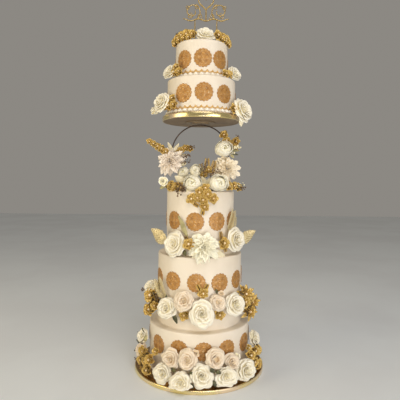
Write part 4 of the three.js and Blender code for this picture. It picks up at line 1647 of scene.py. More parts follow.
@dataclass(frozen=True)
class Border:
    """The piped foot of a tier: white pearls below a crown of gold points.

    Attributes:
        pearls: how many go round.
        depth: how far a pearl stands out.
        height: of a pearl.
        crown: height of the gold points above it.
    """

    pearls: int
    depth: float = 8.5
    height: float = 14.5
    crown: float = 8.0

    def pearl(self, wall: float, foot: float) -> Form:
        """One pearl at azimuth 0: a dome with a slight point."""
        half = math.pi * (wall + 2) / self.pearls
        steps = np.linspace(0, 1, 8)
        profile = [(math.sin(math.pi * t) ** 0.75 * (1.1 - 0.35 * t) if 0 < t < 1 else 0.0, t) for t in steps]
        made = lathe(profile, 14)
        made.points *= (half * 0.98, self.depth, self.height)
        return made.placed((0, -wall, foot))

    def points(self, wall: float, foot: float) -> Form:
        """One gold crown at azimuth 0: a tall point between two small leaning ones, on a band."""
        half = math.pi * wall / self.pearls
        base = foot + self.height - 1.5
        tall = spindle(0.74 * half, 3.4, self.crown, sides=8, rows=6).placed((0, -wall, base + 1))
        forms = [tall]
        for side in (-1, 1):
            turn = Euler((0, side * math.radians(48), 0)).to_matrix()
            small = spindle(0.46 * half, 2.8, self.crown * 0.75, sides=8, rows=5)
            forms.append(small.placed((side * 0.12 * half, -wall, base + 0.5), turn))
        band = [(half * t, -wall - 0.2, base + 1.2 * (1 - abs(t))) for t in (-1.05, -0.5, 0, 0.5, 1.05)]
        forms.append(tube(band, [1.3] * 5, sides=6))
        forms.append(ball(1.5, 8, 4).placed((half, -wall - 0.8, base + 1.8)))
        made = Form.joined([outward_facing(form) for form in forms])
        # Painted shade and highlight: the gold points are darker near the wall and lighter where they stand
        # out.
        made.marks[:, 1] = smooth(made.points[:, 1], -wall + 0.8, -wall - 1.8)
        return made


@dataclass(frozen=True)
class Tier:
    """One drum of cake with its medallions and border.

    Attributes:
        node: the node that it stands for.
        radius: of the drum.
        bottom: height of its foot.
        top: height of its upper face.
        medallions: the discs round it.
        border: its piped foot, if it has one.
        edge: radius of its rounded upper edge.
        fillet: radius of the icing smoothed along its foot.
        gap: left under its foot.
    """

    node: str
    radius: float
    bottom: float
    top: float
    medallions: Medallions
    border: Border | None = None
    edge: float = 4.0
    fillet: float = 3.0
    gap: float = 0.3

    def drum(self) -> Form:
        """The iced drum: a softly uneven wall and a rounded upper edge."""
        r, e = self.radius, self.edge
        foot = self.bottom + self.gap
        corner = [(r - e + e * math.sin(a), self.top - e + e * math.cos(a))
                  for a in np.linspace(math.pi / 2, 0, 7)]
        wall = [(r, z) for z in np.linspace(foot + self.fillet + 2, self.top - e, 14)[:-1]]
        lid = [(t * (r - e), self.top) for t in (0.85, 0.5, 0.2)]
        fillet = [(r + self.fillet * (1 - math.sin(a)), foot + self.fillet * (1 - math.cos(a)))
                  for a in np.linspace(0, math.pi / 2, 5)]
        form = lathe([(0, foot), (r * 0.6, foot), *fillet, *wall, *corner, *lid, (0, self.top)], 180)
        angle = np.arctan2(form.points[:, 0], -form.points[:, 1])
        height = form.points[:, 2]
        outer = smooth(np.hypot(form.points[:, 0], form.points[:, 1]), r - 2 * e, r)
        wave = 0.35 * np.sin(3 * angle + height / 60) * np.sin(height / 38)
        wave = wave + 0.15 * np.sin(11 * angle + height / 19)
        form.points[:, :2] *= (1 + outer * wave / r)[:, None]
        return form

    def build(self) -> None:
        """Builds the drum, its discs and its border."""
        settle(self.drum().piece(self.node + "_icing", Icing()), Slot.ICING, self.node)
        self.discs()
        if self.border:
            foot = self.bottom + self.gap
            self.ring(self.border.pearl(self.radius, foot), "pearls", PEARL_LUSTRE, Slot.PEARL)
            self.ring(self.border.points(self.radius, foot), "gold_points", BORDER_GOLD, Slot.GOLD)

    def discs(self) -> None:
        """The medallions, each a little higher or lower than the next."""
        azimuths = self.medallions.azimuths
        count = len(azimuths)
        tray = BENCH.tray(self.node + "_discs", [self.medallions.disc(self.radius).mesh("disc")])
        places = np.zeros((count, 3))
        places[:, 2] = np.random.default_rng(count).uniform(-1.2, 1.2, count)
        turns = [(0, 0, math.radians(azimuth)) for azimuth in azimuths]
        made = bouquet(tray, self.node + "_medallions", COPPER_LACE, places, turns, np.ones(count),
                       np.zeros(count))
        settle(made, Slot.MEDALLION, self.node)

    def ring(self, form: Form, piece: str, finish: Finish, slot: Slot) -> None:
        """Repeats a piece of the border round the drum."""
        name = f"{self.node}_{piece}"
        source = BENCH.hold(form.mesh(piece), name + "_source")
        values = {"Piece": source, "Count": self.border.pearls, "Pearl Material": dressed(PEARL_LUSTRE)}
        settle(piece_of(grown(ring_tree, None, name, finish, values), name), slot, self.node)


@dataclass(frozen=True)
class HoopStand:
    """The wire hoop between the third tier and the upper board, with its foot and cap."""

    x: float = -2.0
    centre: float = 672.0
    radius: float = 89.0
    wire: float = 1.9
    foot_bottom: float = 555.3
    foot_radius: float = 42.0
    foot_thickness: float = 5.0
    post: float = 6.0
    cap_top: float = 768.7
    cap_radius: float = 46.0
    cap_thickness: float = 2.2
    boss_radius: float = 27.0
    boss_thickness: float = 2.4
    gap: float = 0.3

    def build(self) -> None:
        """Builds the ring, its foot and its cap."""
        self.ring()
        bevel = 0.6
        plate = self.foot_bottom + self.foot_thickness
        post_top = self.centre - self.radius - self.wire - self.gap
        foot = [(0, self.foot_bottom), (self.foot_radius - bevel, self.foot_bottom),
                (self.foot_radius, self.foot_bottom + bevel), (self.foot_radius, plate - bevel),
                (self.foot_radius - bevel, plate), (self.post + 5, plate), (self.post + 1.5, plate + 1.5),
                (self.post, plate + 5), (self.post, post_top - 1), (self.post - 1, post_top), (0, post_top)]
        self.turned(foot, "hoop_foot_plate", "hoop_foot", DARK_WIRE)
        under = self.cap_top - self.cap_thickness
        boss = under - self.boss_thickness
        cap = [(0, boss), (self.boss_radius - bevel, boss), (self.boss_radius, boss + bevel),
               (self.boss_radius, under), (self.cap_radius - bevel, under), (self.cap_radius, under + bevel),
               (self.cap_radius, self.cap_top), (0, self.cap_top)]
        self.turned(cap, "hoop_cap", "hoop_top", CAP_METAL)

    def turned(self, profile: list[tuple[float, float]], name: str, node: str, finish: Plain) -> None:
        """Turns a profile about the hoop's own axis."""
        form = lathe(profile, 64)
        form.points[:, 0] += self.x
        made = form.piece(name, finish)
        made.modifiers.new("crisp", "EDGE_SPLIT").split_angle = math.radians(35)
        settle(made, Slot.WIRE, node)

    def ring(self) -> None:
        """The hoop itself: a round wire, closed on itself."""
        sides, steps = 12, 120
        turn = (np.arange(steps) * 2 * math.pi / steps)[:, None]
        bend = (np.arange(sides) * 2 * math.pi / sides)[None, :]
        reach = self.radius + self.wire * np.cos(bend)
        points = np.stack([self.x + reach * np.cos(turn), self.wire * np.sin(bend) + 0 * turn,
                           self.centre + reach * np.sin(turn)], -1).reshape(-1, 3)
        faces = []
        for i in range(steps):
            for k in range(sides):
                ahead, beside = (i + 1) % steps, (k + 1) % sides
                faces.append((i * sides + k, i * sides + beside, ahead * sides + beside, ahead * sides + k))
        form = outward_facing(Form.bare(points, faces))
        settle(form.piece("hoop_wire_ring", DARK_WIRE), Slot.WIRE, "hoop_ring")


@dataclass(frozen=True)
class Topper:
    """A flat glitter topper: a waved rail on two stakes, a heart on a stem, and scrolls."""

    x: float = 12.0
    bottom: float = 1002.3
    foot: float = 1082.0
    top: float = 1160.0
    half_width: float = 71.0
    stake_spread: float = 34.0
    stroke: float = 5.5
    thickness: float = 3.0
    heart: float = 46.0
    heart_drop: float = 22.0

    def stroke_form(self, line: list[tuple[float, float]], width: float) -> Form:
        """A rounded flat stroke along a line in the topper's plane."""
        path = [(self.x + x, 0.0, z) for x, z in line]
        ends = np.minimum(np.linspace(0, 1, len(line)), np.linspace(1, 0, len(line)))
        radii = width / 2 * (0.55 + 0.45 * np.clip(ends * 8, 0, 1))
        return tube(path, radii, sides=10, flat=(self.thickness / 2, np.array([0.0, 1.0, 0.0])))

    @staticmethod
    def scroll(x: float, z: float, radius: float, start: float, turns: float, end: float = 0.2,
               steps: int = 40) -> list[tuple[float, float]]:
        """A spiral from its outer end inward."""
        line = []
        for i in range(steps + 1):
            t = i / steps
            angle = math.radians(start + 360 * turns * t)
            reach = radius * (1 - (1 - end) * t)
            line.append((x + reach * math.cos(angle), z + reach * math.sin(angle)))
        return line

    def heart_half(self, side: int, steps: int = 28) -> list[tuple[float, float]]:
        """Half of the heart, from its dip to its point."""
        middle = self.top - self.heart_drop
        line = []
        for i in range(steps + 1):
            t = math.pi * i / steps
            x = 16 * math.sin(t) ** 3
            y = 13 * math.cos(t) - 5 * math.cos(2 * t) - 2 * math.cos(3 * t) - math.cos(4 * t)
            line.append((side * self.heart * x / 32, middle + self.heart * y / 32))
        return line

    def build(self) -> None:
        """Builds every stroke as one piece."""
        width = self.stroke
        rail = [(self.half_width * t, self.foot + 3 - 3 * math.cos(3 * math.pi * t))
                for t in np.linspace(-1, 1, 49)]
        stem_end = self.top - self.heart_drop - 0.45 * self.heart
        stem = [(0, self.foot + (stem_end - self.foot) * t) for t in np.linspace(0, 1, 8)]
        forms = [self.stroke_form(rail, 0.8 * width), self.stroke_form(stem, 0.7 * width)]
        for side in (-1, 1):
            stake = [(side * self.stake_spread, self.bottom + (self.foot + 2 - self.bottom) * t)
                     for t in np.linspace(0, 1, 10)]
            curls = [
                (self.scroll(42, self.foot + 28, 27, -100, -1.3, 0.3), 0.62),
                (self.scroll(50, self.foot + 15, 9.5, 90, 1.4), 0.45),
                (self.scroll(18, self.foot + 14, 10, 200, 1.3), 0.45),
                (self.scroll(30, self.foot + 42, 8, 20, 1.5), 0.4),
                (self.scroll(58, self.foot + 40, 7.5, -60, -1.4), 0.4),
            ]
            forms.append(self.stroke_form(stake, 0.6 * width))
            forms.append(self.stroke_form(self.heart_half(side), 0.75 * width))
            for line, share in curls:
                forms.append(self.stroke_form([(side * x, z) for x, z in line], share * width))
        made = Form.joined(forms).piece("topper_scrolls", GLITTER)
        settle(made, Slot.TOPPER, "topper")


# ---- garlands -------------------------------------------------------------------


def squeezed(points: np.ndarray, centre: np.ndarray, towards: np.ndarray, room: float) -> np.ndarray:
    """Presses the side of a flower that faces something into the room that it has there.

    Args:
        points: of the flower.
        centre: of the flower.
        towards: unit direction of what it leans against.
        room: how far it may reach that way.

    Returns:
        The pressed points.
    """
    along = (points - centre) @ towards
    reach = float(along.max())
    if reach <= room or room <= 0:
        return points
    share = 1 - (1 - room / reach) * smooth(along, 0.0, 0.35 * reach)
    return points + np.outer(np.where(along > 0, along * (share - 1), 0.0), towards)


@dataclass(frozen=True)
class Flower:
    """One flower in its place.

    Attributes:
        kind: its form.
        place: of its middle.
        facing: the unit direction that it looks in.
        radius: of its widest petals.
        finish: of its petals, for roses.
        wall: radius of the drum behind it, if it leans on one.
        ledge: height of what it lies on, if it lies.
        front: it hangs before the hoop's wire.
        ruffle: how far its rims wave.
        tall: how much higher than wide it is.
        CLEARANCE: kept from a wall or a ledge.
        HOOP_FRONT: how far before the hoop's middle its flowers begin.
        TOUCHING: flowers press on each other within this share of their radii.
        OVERLAP: share of its radius by which one may reach into the next.
    """

    CLEARANCE: ClassVar[float] = 0.5
    HOOP_FRONT: ClassVar[float] = 2.9
    TOUCHING: ClassVar[float] = 0.96
    OVERLAP: ClassVar[float] = 0.06

    kind: Bloom
    place: Triple
    facing: Triple
    radius: float
    finish: Petals = WHITE_PETALS
    wall: float | None = None
    ledge: float | None = None
    front: bool = False
    ruffle: float = 0.07
    tall: float = 1.0

    @property
    def centre(self) -> np.ndarray:
        """Its middle as an array."""
        return np.array(self.place)

    def pressed(self, points: np.ndarray, neighbours: "Sequence[Flower]") -> np.ndarray:
        """Presses the flower's points clear of its wall, its ledge and its neighbours.

        Args:
            points: of the flower, in their place.
            neighbours: the flowers that it may touch.

        Returns:
            The pressed points.
        """
        centre = self.centre
        limits: list[tuple[np.ndarray, float]] = []
        if self.wall is not None:
            inward = -unit(np.array([centre[0], centre[1], 0.0]))
            limits.append((inward, math.hypot(centre[0], centre[1]) - self.wall - self.CLEARANCE))
        if self.ledge is not None:
            limits.append((np.array([0.0, 0.0, -1.0]), centre[2] - self.ledge - self.CLEARANCE))
        if self.front:
            limits.append((np.array([0.0, 1.0, 0.0]), -centre[1] - self.HOOP_FRONT))
        for other in neighbours:
            apart = other.centre - centre
            distance = float(np.linalg.norm(apart))
            if 0.01 < distance < self.TOUCHING * (self.radius + other.radius):
                room = (distance ** 2 + self.radius ** 2 - other.radius ** 2) / (2 * distance)
                limits.append((apart / distance, room + self.OVERLAP * self.radius))
        for towards, room in limits:
            points = squeezed(points, centre, towards, room)
        return points


def on_wall(kind: Bloom, azimuth: float, distance: float, height: float, radius: float,
            lift: float = 18.0, face: float | None = None, **options: object) -> Flower:
    """A flower round a tier, looking outward or to the azimuth `face`."""
    facing = outward(azimuth if face is None else face, lift)
    return Flower(kind, tuple(around(azimuth, distance, height)), tuple(facing), radius, **options)


def on_hoop(kind: Bloom, x: float, y: float, z: float, radius: float, turn: float = 0.0,
            lift: float = 12.0, **options: object) -> Flower:
    """A flower wired to the hoop, turned `turn` degrees from the front."""
    return Flower(kind, (x, y, z), tuple(outward(turn, lift)), radius, front=True, **options)


@dataclass(frozen=True)
class Garland:
    """Everything that stands for one node of flowers.

    Attributes:
        node: the node.
        flowers: those that show.
        leaves: single leaves.
        sprigs: berries on twigs.
        dressing: spacing of the small gold pieces that cover the node's solid, or 0 for none.
        piece: radius of the largest of those pieces.
        seed: of its unevenness.
        CORE_INSET: how far the core lies under the node's solid.
        CORE_CLEAR: the core shrinks within this share of a rose's radius.
        CORE_SHRINK: and by this share of its distance.
        ROSE_ROOM: nothing is scattered within this share of a rose's radius.
        SMALLEST: radius of the smallest scattered piece, as a share of the largest.
    """

    CORE_INSET: ClassVar[float] = 3.0
    CORE_CLEAR: ClassVar[float] = 1.15
    CORE_SHRINK: ClassVar[float] = 0.6
    ROSE_ROOM: ClassVar[float] = 1.1
    SMALLEST: ClassVar[float] = 0.6

    node: str
    flowers: tuple[Flower, ...]
    leaves: tuple[Leaf, ...] = ()
    sprigs: tuple[Sprig, ...] = ()
    dressing: float = 0.0
    seed: int = 1
    piece: float = 8.0

    def build(self, everything: Sequence[Flower]) -> None:
        """Builds the garland's pieces.

        Args:
            everything: all of the cake's large flowers, which press on each other.
        """
        large = [flower for flower in self.flowers if flower.kind not in GILDED]
        gold = [flower for flower in self.flowers if flower.kind in GILDED]
        self.roses([flower for flower in large if flower.kind not in WHORLED], everything)
        for number, flower in enumerate(flower for flower in large if flower.kind in WHORLED):
            self.dahlia(flower, everything, number)
        if gold:
            self.gold_flowers(gold)
        self.green()
        for number, sprig in enumerate(self.sprigs):
            self.berries(sprig, number)
        if self.dressing:
            self.scattered()

    def roses(self, flowers: Sequence[Flower], everything: Sequence[Flower]) -> None:
        """Roses and buds, one piece for each finish."""
        for finish in (WHITE_PETALS, CREAM_PETALS, BLUSH_PETALS):
            forms = []
            for number, flower in enumerate(flowers):
                if flower.finish != finish:
                    continue
                seed = 100 * self.seed + number
                form = rose(flower.kind, seed, flower.ruffle)
                form = form.placed((0, 0, 0), facing_turn(flower.facing, 0.7 * seed), flower.radius)
                points = form.points * (1, 1, flower.tall) + flower.centre
                forms.append(Form(flower.pressed(points, everything), form.faces, form.marks, form.whorl))
            if forms:
                made = Form.joined(forms).piece(f"{self.node}_{finish.name}", finish)
                settle(made, Slot.BLUSH if finish is BLUSH_PETALS else Slot.WHITE, self.node)

    def dahlia(self, flower: Flower, everything: Sequence[Flower], number: int) -> None:
        """A dahlia, grown ring by ring and then set in its place."""
        form, finish, slot = WHORLED[flower.kind]
        mesh = form.mesh(self.seed, finish)
        turn = facing_turn(flower.facing).to_4x4()
        mesh.transform(Matrix.Translation(flower.centre * MM) @ turn @ Matrix.Scale(flower.radius, 4))
        places = np.zeros(3 * len(mesh.vertices), np.float32)
        mesh.vertices.foreach_get("co", places)
        pressed = flower.pressed(places.reshape(-1, 3) / MM, everything) * MM
        mesh.vertices.foreach_set("co", pressed.astype(np.float32).ravel())
        mesh.update()
        settle(piece_of(mesh, f"{self.node}_dahlia_{number}"), slot, self.node)

    def gold_flowers(self, flowers: Sequence[Flower]) -> None:
        """The large gold flowers with their pearls."""
        rng = np.random.default_rng(self.seed)
        turns = [facing_turn(flower.facing, rng.uniform(0, WHOLE_SPIN)).to_euler() for flower in flowers]
        variants = len(GOLD_SEEDS)
        kinds = [k % variants + variants * (flower.kind is Bloom.BURST) for k, flower in enumerate(flowers)]
        places, sizes = [flower.place for flower in flowers], [flower.radius for flower in flowers]
        name = self.node + "_gold_flowers"
        made = bouquet(gold_flower_tray(), name, GOLD_PETALS, places, turns, sizes, kinds)
        settle(made, Slot.GOLD, self.node)

    def green(self) -> None:
        """The single leaves, one piece for each kind."""
        for kind in LeafKind:
            forms = [leaf.form() for leaf in self.leaves if leaf.kind is kind]
            if forms:
                finish, slot = LEAF_FINISH[kind]
                settle(Form.joined(forms).piece(f"{self.node}_{kind.value}_leaves", finish), slot, self.node)

    def berries(self, sprig: Sprig, number: int) -> None:
        """One sprig: its twigs and its berries."""
        twigs, places = sprig.forms()
        stem = TWIG if sprig.slot is Slot.BERRIES else SAGE_STEM
        settle(twigs.piece(f"{self.node}_twigs_{number}", stem), sprig.slot, self.node)
        rng = np.random.default_rng(sprig.seed)
        count = len(places)
        made = bouquet(berry_tray(), f"{self.node}_berries_{number}", sprig.finish, places,
                       rng.uniform(-0.6, 0.6, (count, 3)), sprig.berry * rng.uniform(0.75, 1.15, count),
                       np.zeros(count))
        settle(made, sprig.slot, self.node)

    def scattered(self) -> None:
        """A core of the node's own form, in a darker gold that paints the shade between the pieces, covered
        in small gold flowers, beads and tufts.
        """
        core = bmesh.new()
        core.from_mesh(frame["nodes"][self.node].data)
        bmesh.ops.remove_doubles(core, verts=core.verts, dist=1e-5)
        core.normal_update()
        roses = [flower for flower in self.flowers if flower.kind not in GILDED]
        inset = self.CORE_INSET * MM
        for vertex in core.verts:
            vertex.co -= vertex.normal * inset
            for flower in roses:
                away = vertex.co - Vector(flower.centre * MM)
                if away.length < self.CORE_CLEAR * flower.radius * MM:
                    vertex.co -= away * self.CORE_SHRINK
        body = bpy.data.meshes.new(self.node + "_core")
        core.to_mesh(body)
        middles = {face: np.array(face.calc_center_median()) / MM for face in core.faces}
        taken = [face for face, middle in middles.items() if any(
            np.linalg.norm(middle - flower.centre) < self.ROSE_ROOM * flower.radius for flower in roses)]
        bmesh.ops.delete(core, geom=taken, context="FACES")
        carrier = bpy.data.meshes.new(self.node + "_core_carrier")
        core.to_mesh(carrier)
        core.free()
        name = self.node + "_dressing"
        tray = dressing_tray()
        values = {"Pieces": tray, "Kinds": len(tray.objects), "Spacing": self.dressing * MM,
                  "Smallest": self.SMALLEST * self.piece, "Largest": self.piece, "Seed": self.seed}
        settle(piece_of(grown(dressing_tree, carrier, name, GOLD_PETALS, values), name), Slot.GOLD, self.node)
        # The core's darker gold is painted shade between the scattered pieces.
        settle(piece_of(body, self.node + "_core", dressed(SHADED_GOLD_CORE)), Slot.GOLD, self.node)


def back_posy(node: str, wall: float, stand: float, foot: float, rose_radius: float, gold: float,
              seed: int) -> Garland:
    """Two roses side by side behind a tier, with a gold flower at each end.

    Args:
        node: the node that it stands for.
        wall: radius of the tier.
        stand: how far the tier's border stands out.
        foot: height of what the posy lies on.
        rose_radius: of the larger rose.
        gold: radius of the gold flowers.
        seed: of its unevenness.

    Returns:
        The posy.
    """
    depth = wall + stand
    step = math.degrees(1.45 * rose_radius / (depth + 0.7 * rose_radius))
    flowers = []
    for side, radius in ((-0.5, 0.8 * rose_radius), (0.5, rose_radius)):
        flowers.append(on_wall(Bloom.ROSE, 180 + side * step, depth + 0.7 * rose_radius, foot + radius,
                               radius, wall=depth, ledge=foot))
    for side in (-1.1, 1.1):
        flowers.append(on_wall(Bloom.GOLD, 180 + side * step, depth + gold, foot + gold, gold))
    return Garland(node, tuple(flowers), seed=seed)


def gold_row(places: Sequence[Placing], lift: float = 12.0, frontal: float = 0.5,
             kind: Bloom = Bloom.GOLD) -> tuple[Flower, ...]:
    """Gold flowers from rows of (azimuth, distance, height, radius), turned part of the way to the front."""
    return tuple(on_wall(kind, *place, lift=lift, face=frontal * place[0]) for place in places)


def gold_on_hoop(places: Sequence[Placing], turn: float = 0.0) -> tuple[Flower, ...]:
    """Gold flowers on the hoop from rows of (x, y, z, radius)."""
    return tuple(on_hoop(Bloom.GOLD, *place, turn=turn) for place in places)


def crown() -> list[Garland]:
    """Round the upper edge of the top tier."""
    top = 1002.0
    left = [(-82, 82, top + 13, 16), (-70, 78, top + 18, 17), (-57, 73, top + 21, 17),
            (-43, 68, top + 22, 17), (-28, 64, top + 20, 16), (-76, 84, top + 2, 12),
            (-60, 80, top + 8, 12), (-46, 76, top + 9, 12),
            (-33, 74, top + 9, 11)]
    right = [(46, 68, top + 21, 16), (58, 73, top + 19, 16), (70, 78, top + 16, 16), (83, 82, top + 12, 15),
             (52, 77, top + 9, 12), (65, 80, top + 7, 12), (78, 84, top + 2, 12)]
    behind = (on_wall(Bloom.ROSE, 180, 50, top + 17, 24, lift=40, ledge=top),
              *gold_row([(150, 56, top + 14, 14), (210, 56, top + 14, 14)], lift=40, frontal=1))
    return [
        Garland("crown_rose", (on_wall(Bloom.OPEN_ROSE, 13, 52, top + 20, 29, lift=32, ledge=top),), seed=2),
        Garland("crown_gold_left", gold_row(left), dressing=8, seed=3, piece=6.5),
        Garland("crown_gold_right", gold_row(right), dressing=8, seed=4, piece=6.5),
        Garland("crown_posy_back", behind, seed=5),
    ]


def fifth() -> list[Garland]:
    """At the foot of the top tier."""
    seat = {"wall": 88.8, "ledge": 892.0}
    left = (on_wall(Bloom.OPEN_ROSE, -67.8, 105, 914, 25, lift=25, face=-48, **seat),
            *gold_row([(-55, 98, 909, 16), (-44, 97, 909, 15), (-50, 99, 925, 11)]))
    right = (on_wall(Bloom.OPEN_ROSE, 73, 106, 911, 26, face=48, **seat),
             *gold_row([(49, 97, 905, 14), (58, 98, 907, 15)]))
    return [
        Garland("t5_flowers_left", left, seed=6),
        Garland("t5_flowers_right", right, seed=7),
        back_posy("t5_posy_back", 80, 8.5, 892, 21, 13, 8),
    ]


def fourth() -> list[Garland]:
    """At the foot of the fourth tier, hanging over the upper board."""
    left = (on_wall(Bloom.BUD, -74, 146, 797, 18, face=-50),
            on_wall(Bloom.ROSE, -61.9, 134, 818, 32, face=-42, wall=108.0),
            *gold_row([(-50, 126, 806, 16), (-42, 122, 808, 15), (-46, 120, 828, 13)]))
    right = (on_wall(Bloom.OPEN_ROSE, 66, 138, 800, 35, face=44, wall=108.0),
             *gold_row([(52.5, 124, 801, 16)]))
    return [
        Garland("t4_flowers_left", left, seed=9),
        Garland("t4_flowers_right", right, (
            Leaf(CREAM, (122, -66, 778), (119, -72, 748), 17, face=30),), seed=10),
        back_posy("t4_posy_back", 105, 8.5, 784, 25, 15, 11),
    ]


def on_the_hoop() -> list[Garland]:
    """Wired to the hoop, and bedded round its foot."""
    cream = {"finish": CREAM_PETALS, "ruffle": 0.055}
    bedded = {"ledge": 555.0, **cream}
    star = (on_hoop(Bloom.STAR_DAHLIA, -95, -22, 647, 44, turn=-20),
            *gold_on_hoop([(-66, -15, 679, 14), (-49, -15, 688, 13), (-33, -15, 686, 11)]))
    top = (on_hoop(Bloom.BALL, 71, -21, 684, 27.5, turn=15, **cream),
           *gold_on_hoop([(71, -15, 730, 14), (80, -15, 713, 14), (95, -15, 701, 14), (109, -15, 710, 14),
                          (106, -15, 694, 14)]))
    middle = (on_hoop(Bloom.BALL, -54, -28, 611, 19, **cream),
              on_hoop(Bloom.BALL, -16, -28, 616, 19, **cream),
              on_hoop(Bloom.BALL, -38, -32, 588, 21, **bedded),
              *gold_on_hoop([(9, -34, 606, 13), (25, -34, 621, 13)]))
    low_left = (on_hoop(Bloom.BUD, -114, -44, 583, 19, **bedded),
                *gold_on_hoop([(-93, -49, 571, 16), (-75, -62, 569, 16), (-58, -74, 566, 16)], turn=-30))
    return [
        Garland("hoop_dahlia_left", star, seed=12, leaves=(
            Leaf(CREAM, (-88, -14, 676), (-103, -16, 706), 12, face=0),
            Leaf(CREAM, (-84, -14, 676), (-68, -16, 703), 11, face=0),
            Leaf(CREAM, (-66, -12, 652), (-44, -12, 669), 22, face=0),
            Leaf(CREAM, (-66, -12, 640), (-44, -12, 640), 18, face=0),
        ), sprigs=(
            Sprig((-62, -26, 650), (-34, -24, 664), 14, 1.9, 10, 21),
            Sprig((-64, -24, 638), (-34, -24, 644), 10, 1.9, 9, 22),
            Sprig((-46, -18, 684), (-20, -20, 690), 10, 1.8, 7, 31),
        )),
        Garland("hoop_dahlia_right", (on_hoop(Bloom.ROUND_DAHLIA, 80, -24, 624, 44, turn=15),), seed=13),
        Garland("hoop_flowers_top", top, seed=14, leaves=(
            Leaf(OLIVE, (94, -20, 672), (116, -24, 668), 7, face=0),
            Leaf(SAGE, (98, -20, 680), (121, -24, 681), 6, face=0),
            Leaf(SAGE, (92, -22, 668), (104, -24, 658), 8, face=0),
        ), sprigs=(
            Sprig((92, -22, 674), (117, -26, 690), 7, 3.4, 11, 23, WHITE_PETALS, Slot.WHITE),
            Sprig((96, -18, 690), (116, -20, 728), 9, 1.8, 8, 32),
        )),
        Garland("hoop_spray_left", gold_on_hoop([
            (-159, -22, 707, 10), (-147, -22, 700, 12), (-134, -22, 692, 13), (-121, -22, 684, 14),
            (-108, -22, 676, 14)]), dressing=8, seed=15, piece=6.5),
        Garland("hoop_rose_right", (on_hoop(Bloom.BALL, 54, -79, 576, 28, turn=15, **bedded),), seed=16),
        Garland("hoop_rose_left", (on_hoop(Bloom.BALL, -22, -80, 576, 27, turn=-8, **bedded),), seed=17),
        Garland("hoop_roses_middle", middle, seed=18, leaves=(
            Leaf(LACE, (6, -30, 590), (-1, -24, 640), 15, face=0),
            Leaf(LACE, (18, -30, 596), (20, -22, 658), 18, face=0),
            Leaf(LACE, (30, -32, 598), (44, -24, 650), 16, face=0),
            Leaf(CREAM, (-48, -58, 580), (-78, -60, 600), 22, face=-10),
            Leaf(CREAM, (-28, -84, 562), (-40, -100, 552), 22, face=-10),
            Leaf(CREAM, (16, -50, 572), (4, -52, 600), 18, face=0),
            Leaf(CREAM, (20, -50, 572), (32, -52, 598), 16, face=0),
        ), sprigs=(
            Sprig((8, -44, 590), (14, -44, 640), 16, 2.0, 13, 24),
            Sprig((18, -48, 596), (58, -56, 616), 12, 2.0, 12, 25),
            Sprig((-4, -44, 600), (8, -44, 628), 9, 1.8, 9, 33, GOLD_PETALS, Slot.GOLD),
        )),
        Garland("hoop_flowers_low_left", low_left, dressing=8, seed=19, leaves=(
            Leaf(SAGE, (-106, -40, 576), (-124, -44, 560), 13, face=-20),
        ), sprigs=(
            Sprig((-58, -72, 580), (-66, -96, 548), 20, 2.5, 13, 26),
            Sprig((-50, -80, 572), (-50, -98, 556), 12, 2.5, 10, 34),
        )),
        Garland("hoop_spray_right", gold_on_hoop([(88, -57, 571, 15), (102, -49, 572, 15),
                                                  (117, -42, 568, 14)],
                                                 turn=25), dressing=8, seed=20, sprigs=(
            Sprig((112, -46, 570), (134, -48, 562), 10, 2.0, 10, 27),
            Sprig((110, -50, 566), (130, -52, 576), 8, 1.8, 8, 35, WHITE_PETALS, Slot.WHITE),
        )),
        Garland("cascade", gold_row([(-13.5, 112, 534, 16), (-4.5, 112, 537, 15), (4, 112, 531, 16),
                                     (11, 112, 548, 16), (20, 112, 535, 16), (6.4, 112, 511, 15),
                                     (-1.5, 110, 553, 15), (7.5, 107, 566, 15)], lift=5),
                leaves=(
                    wall_leaf(LACE, (-14, 108, 526), (-3, 107, 512), 12),
                    wall_leaf(LACE, (12, 108, 540), (24, 107, 520), 12),
                    wall_leaf(LACE, (5, 108, 506), (3, 107, 488), 12),
                ), seed=28),
    ]


def third() -> list[Garland]:
    """Round the foot of the third tier."""
    seat = {"wall": 108.0}
    left = (on_wall(Bloom.OPEN_ROSE, -36.1, 128, 401, 35, lift=14, face=-33, **seat),)
    right = (on_wall(Bloom.ROSE, 55.3, 129, 411, 37, lift=10, face=38, **seat),)
    return [
        Garland("t3_rose_left", left, (
            wall_leaf(RIBBED, (-50, 132, 402), (-68, 160, 440), 42, face=-25),
            wall_leaf(SAGE, (-18, 118, 425), (-35, 115, 485), 15),
            wall_leaf(OLIVE, (-22, 128, 384), (-17, 136, 372), 14),
            wall_leaf(OLIVE, (-56, 126, 408), (-62, 128, 424), 9, face=-30),
        ), seed=29),
        Garland("t3_dahlia", (on_wall(Bloom.LONG_DAHLIA, 5.4, 129, 396, 44, lift=20, **seat),
                              *gold_row([(-14, 133, 405, 18)])), (
            wall_leaf(LACE, (-16, 116, 392), (-22, 112, 425), 14),
            wall_leaf(CREAM, (18, 122, 380), (34, 132, 368), 24, face=20),
        ), seed=30),
        Garland("t3_gold_right", gold_row([(33.5, 129, 405, 18)]), (
            wall_leaf(LACE, (40, 112, 398), (42, 114, 376), 12),
            wall_leaf(LACE, (34, 112, 410), (33, 110, 438), 12),
        ), seed=31),
        Garland("t3_rose_right", right, (
            wall_leaf(RIBBED, (62, 135, 402), (74, 176, 436), 38, face=25),
            wall_leaf(FERN, (44, 118, 434), (60, 116, 500), 26, face=45),
            wall_leaf(FERN, (52, 120, 430), (63, 118, 480), 20, face=50),
        ), seed=32),
        back_posy("t3_posy_back", 105, 0, 365, 28, 17, 33),
    ]


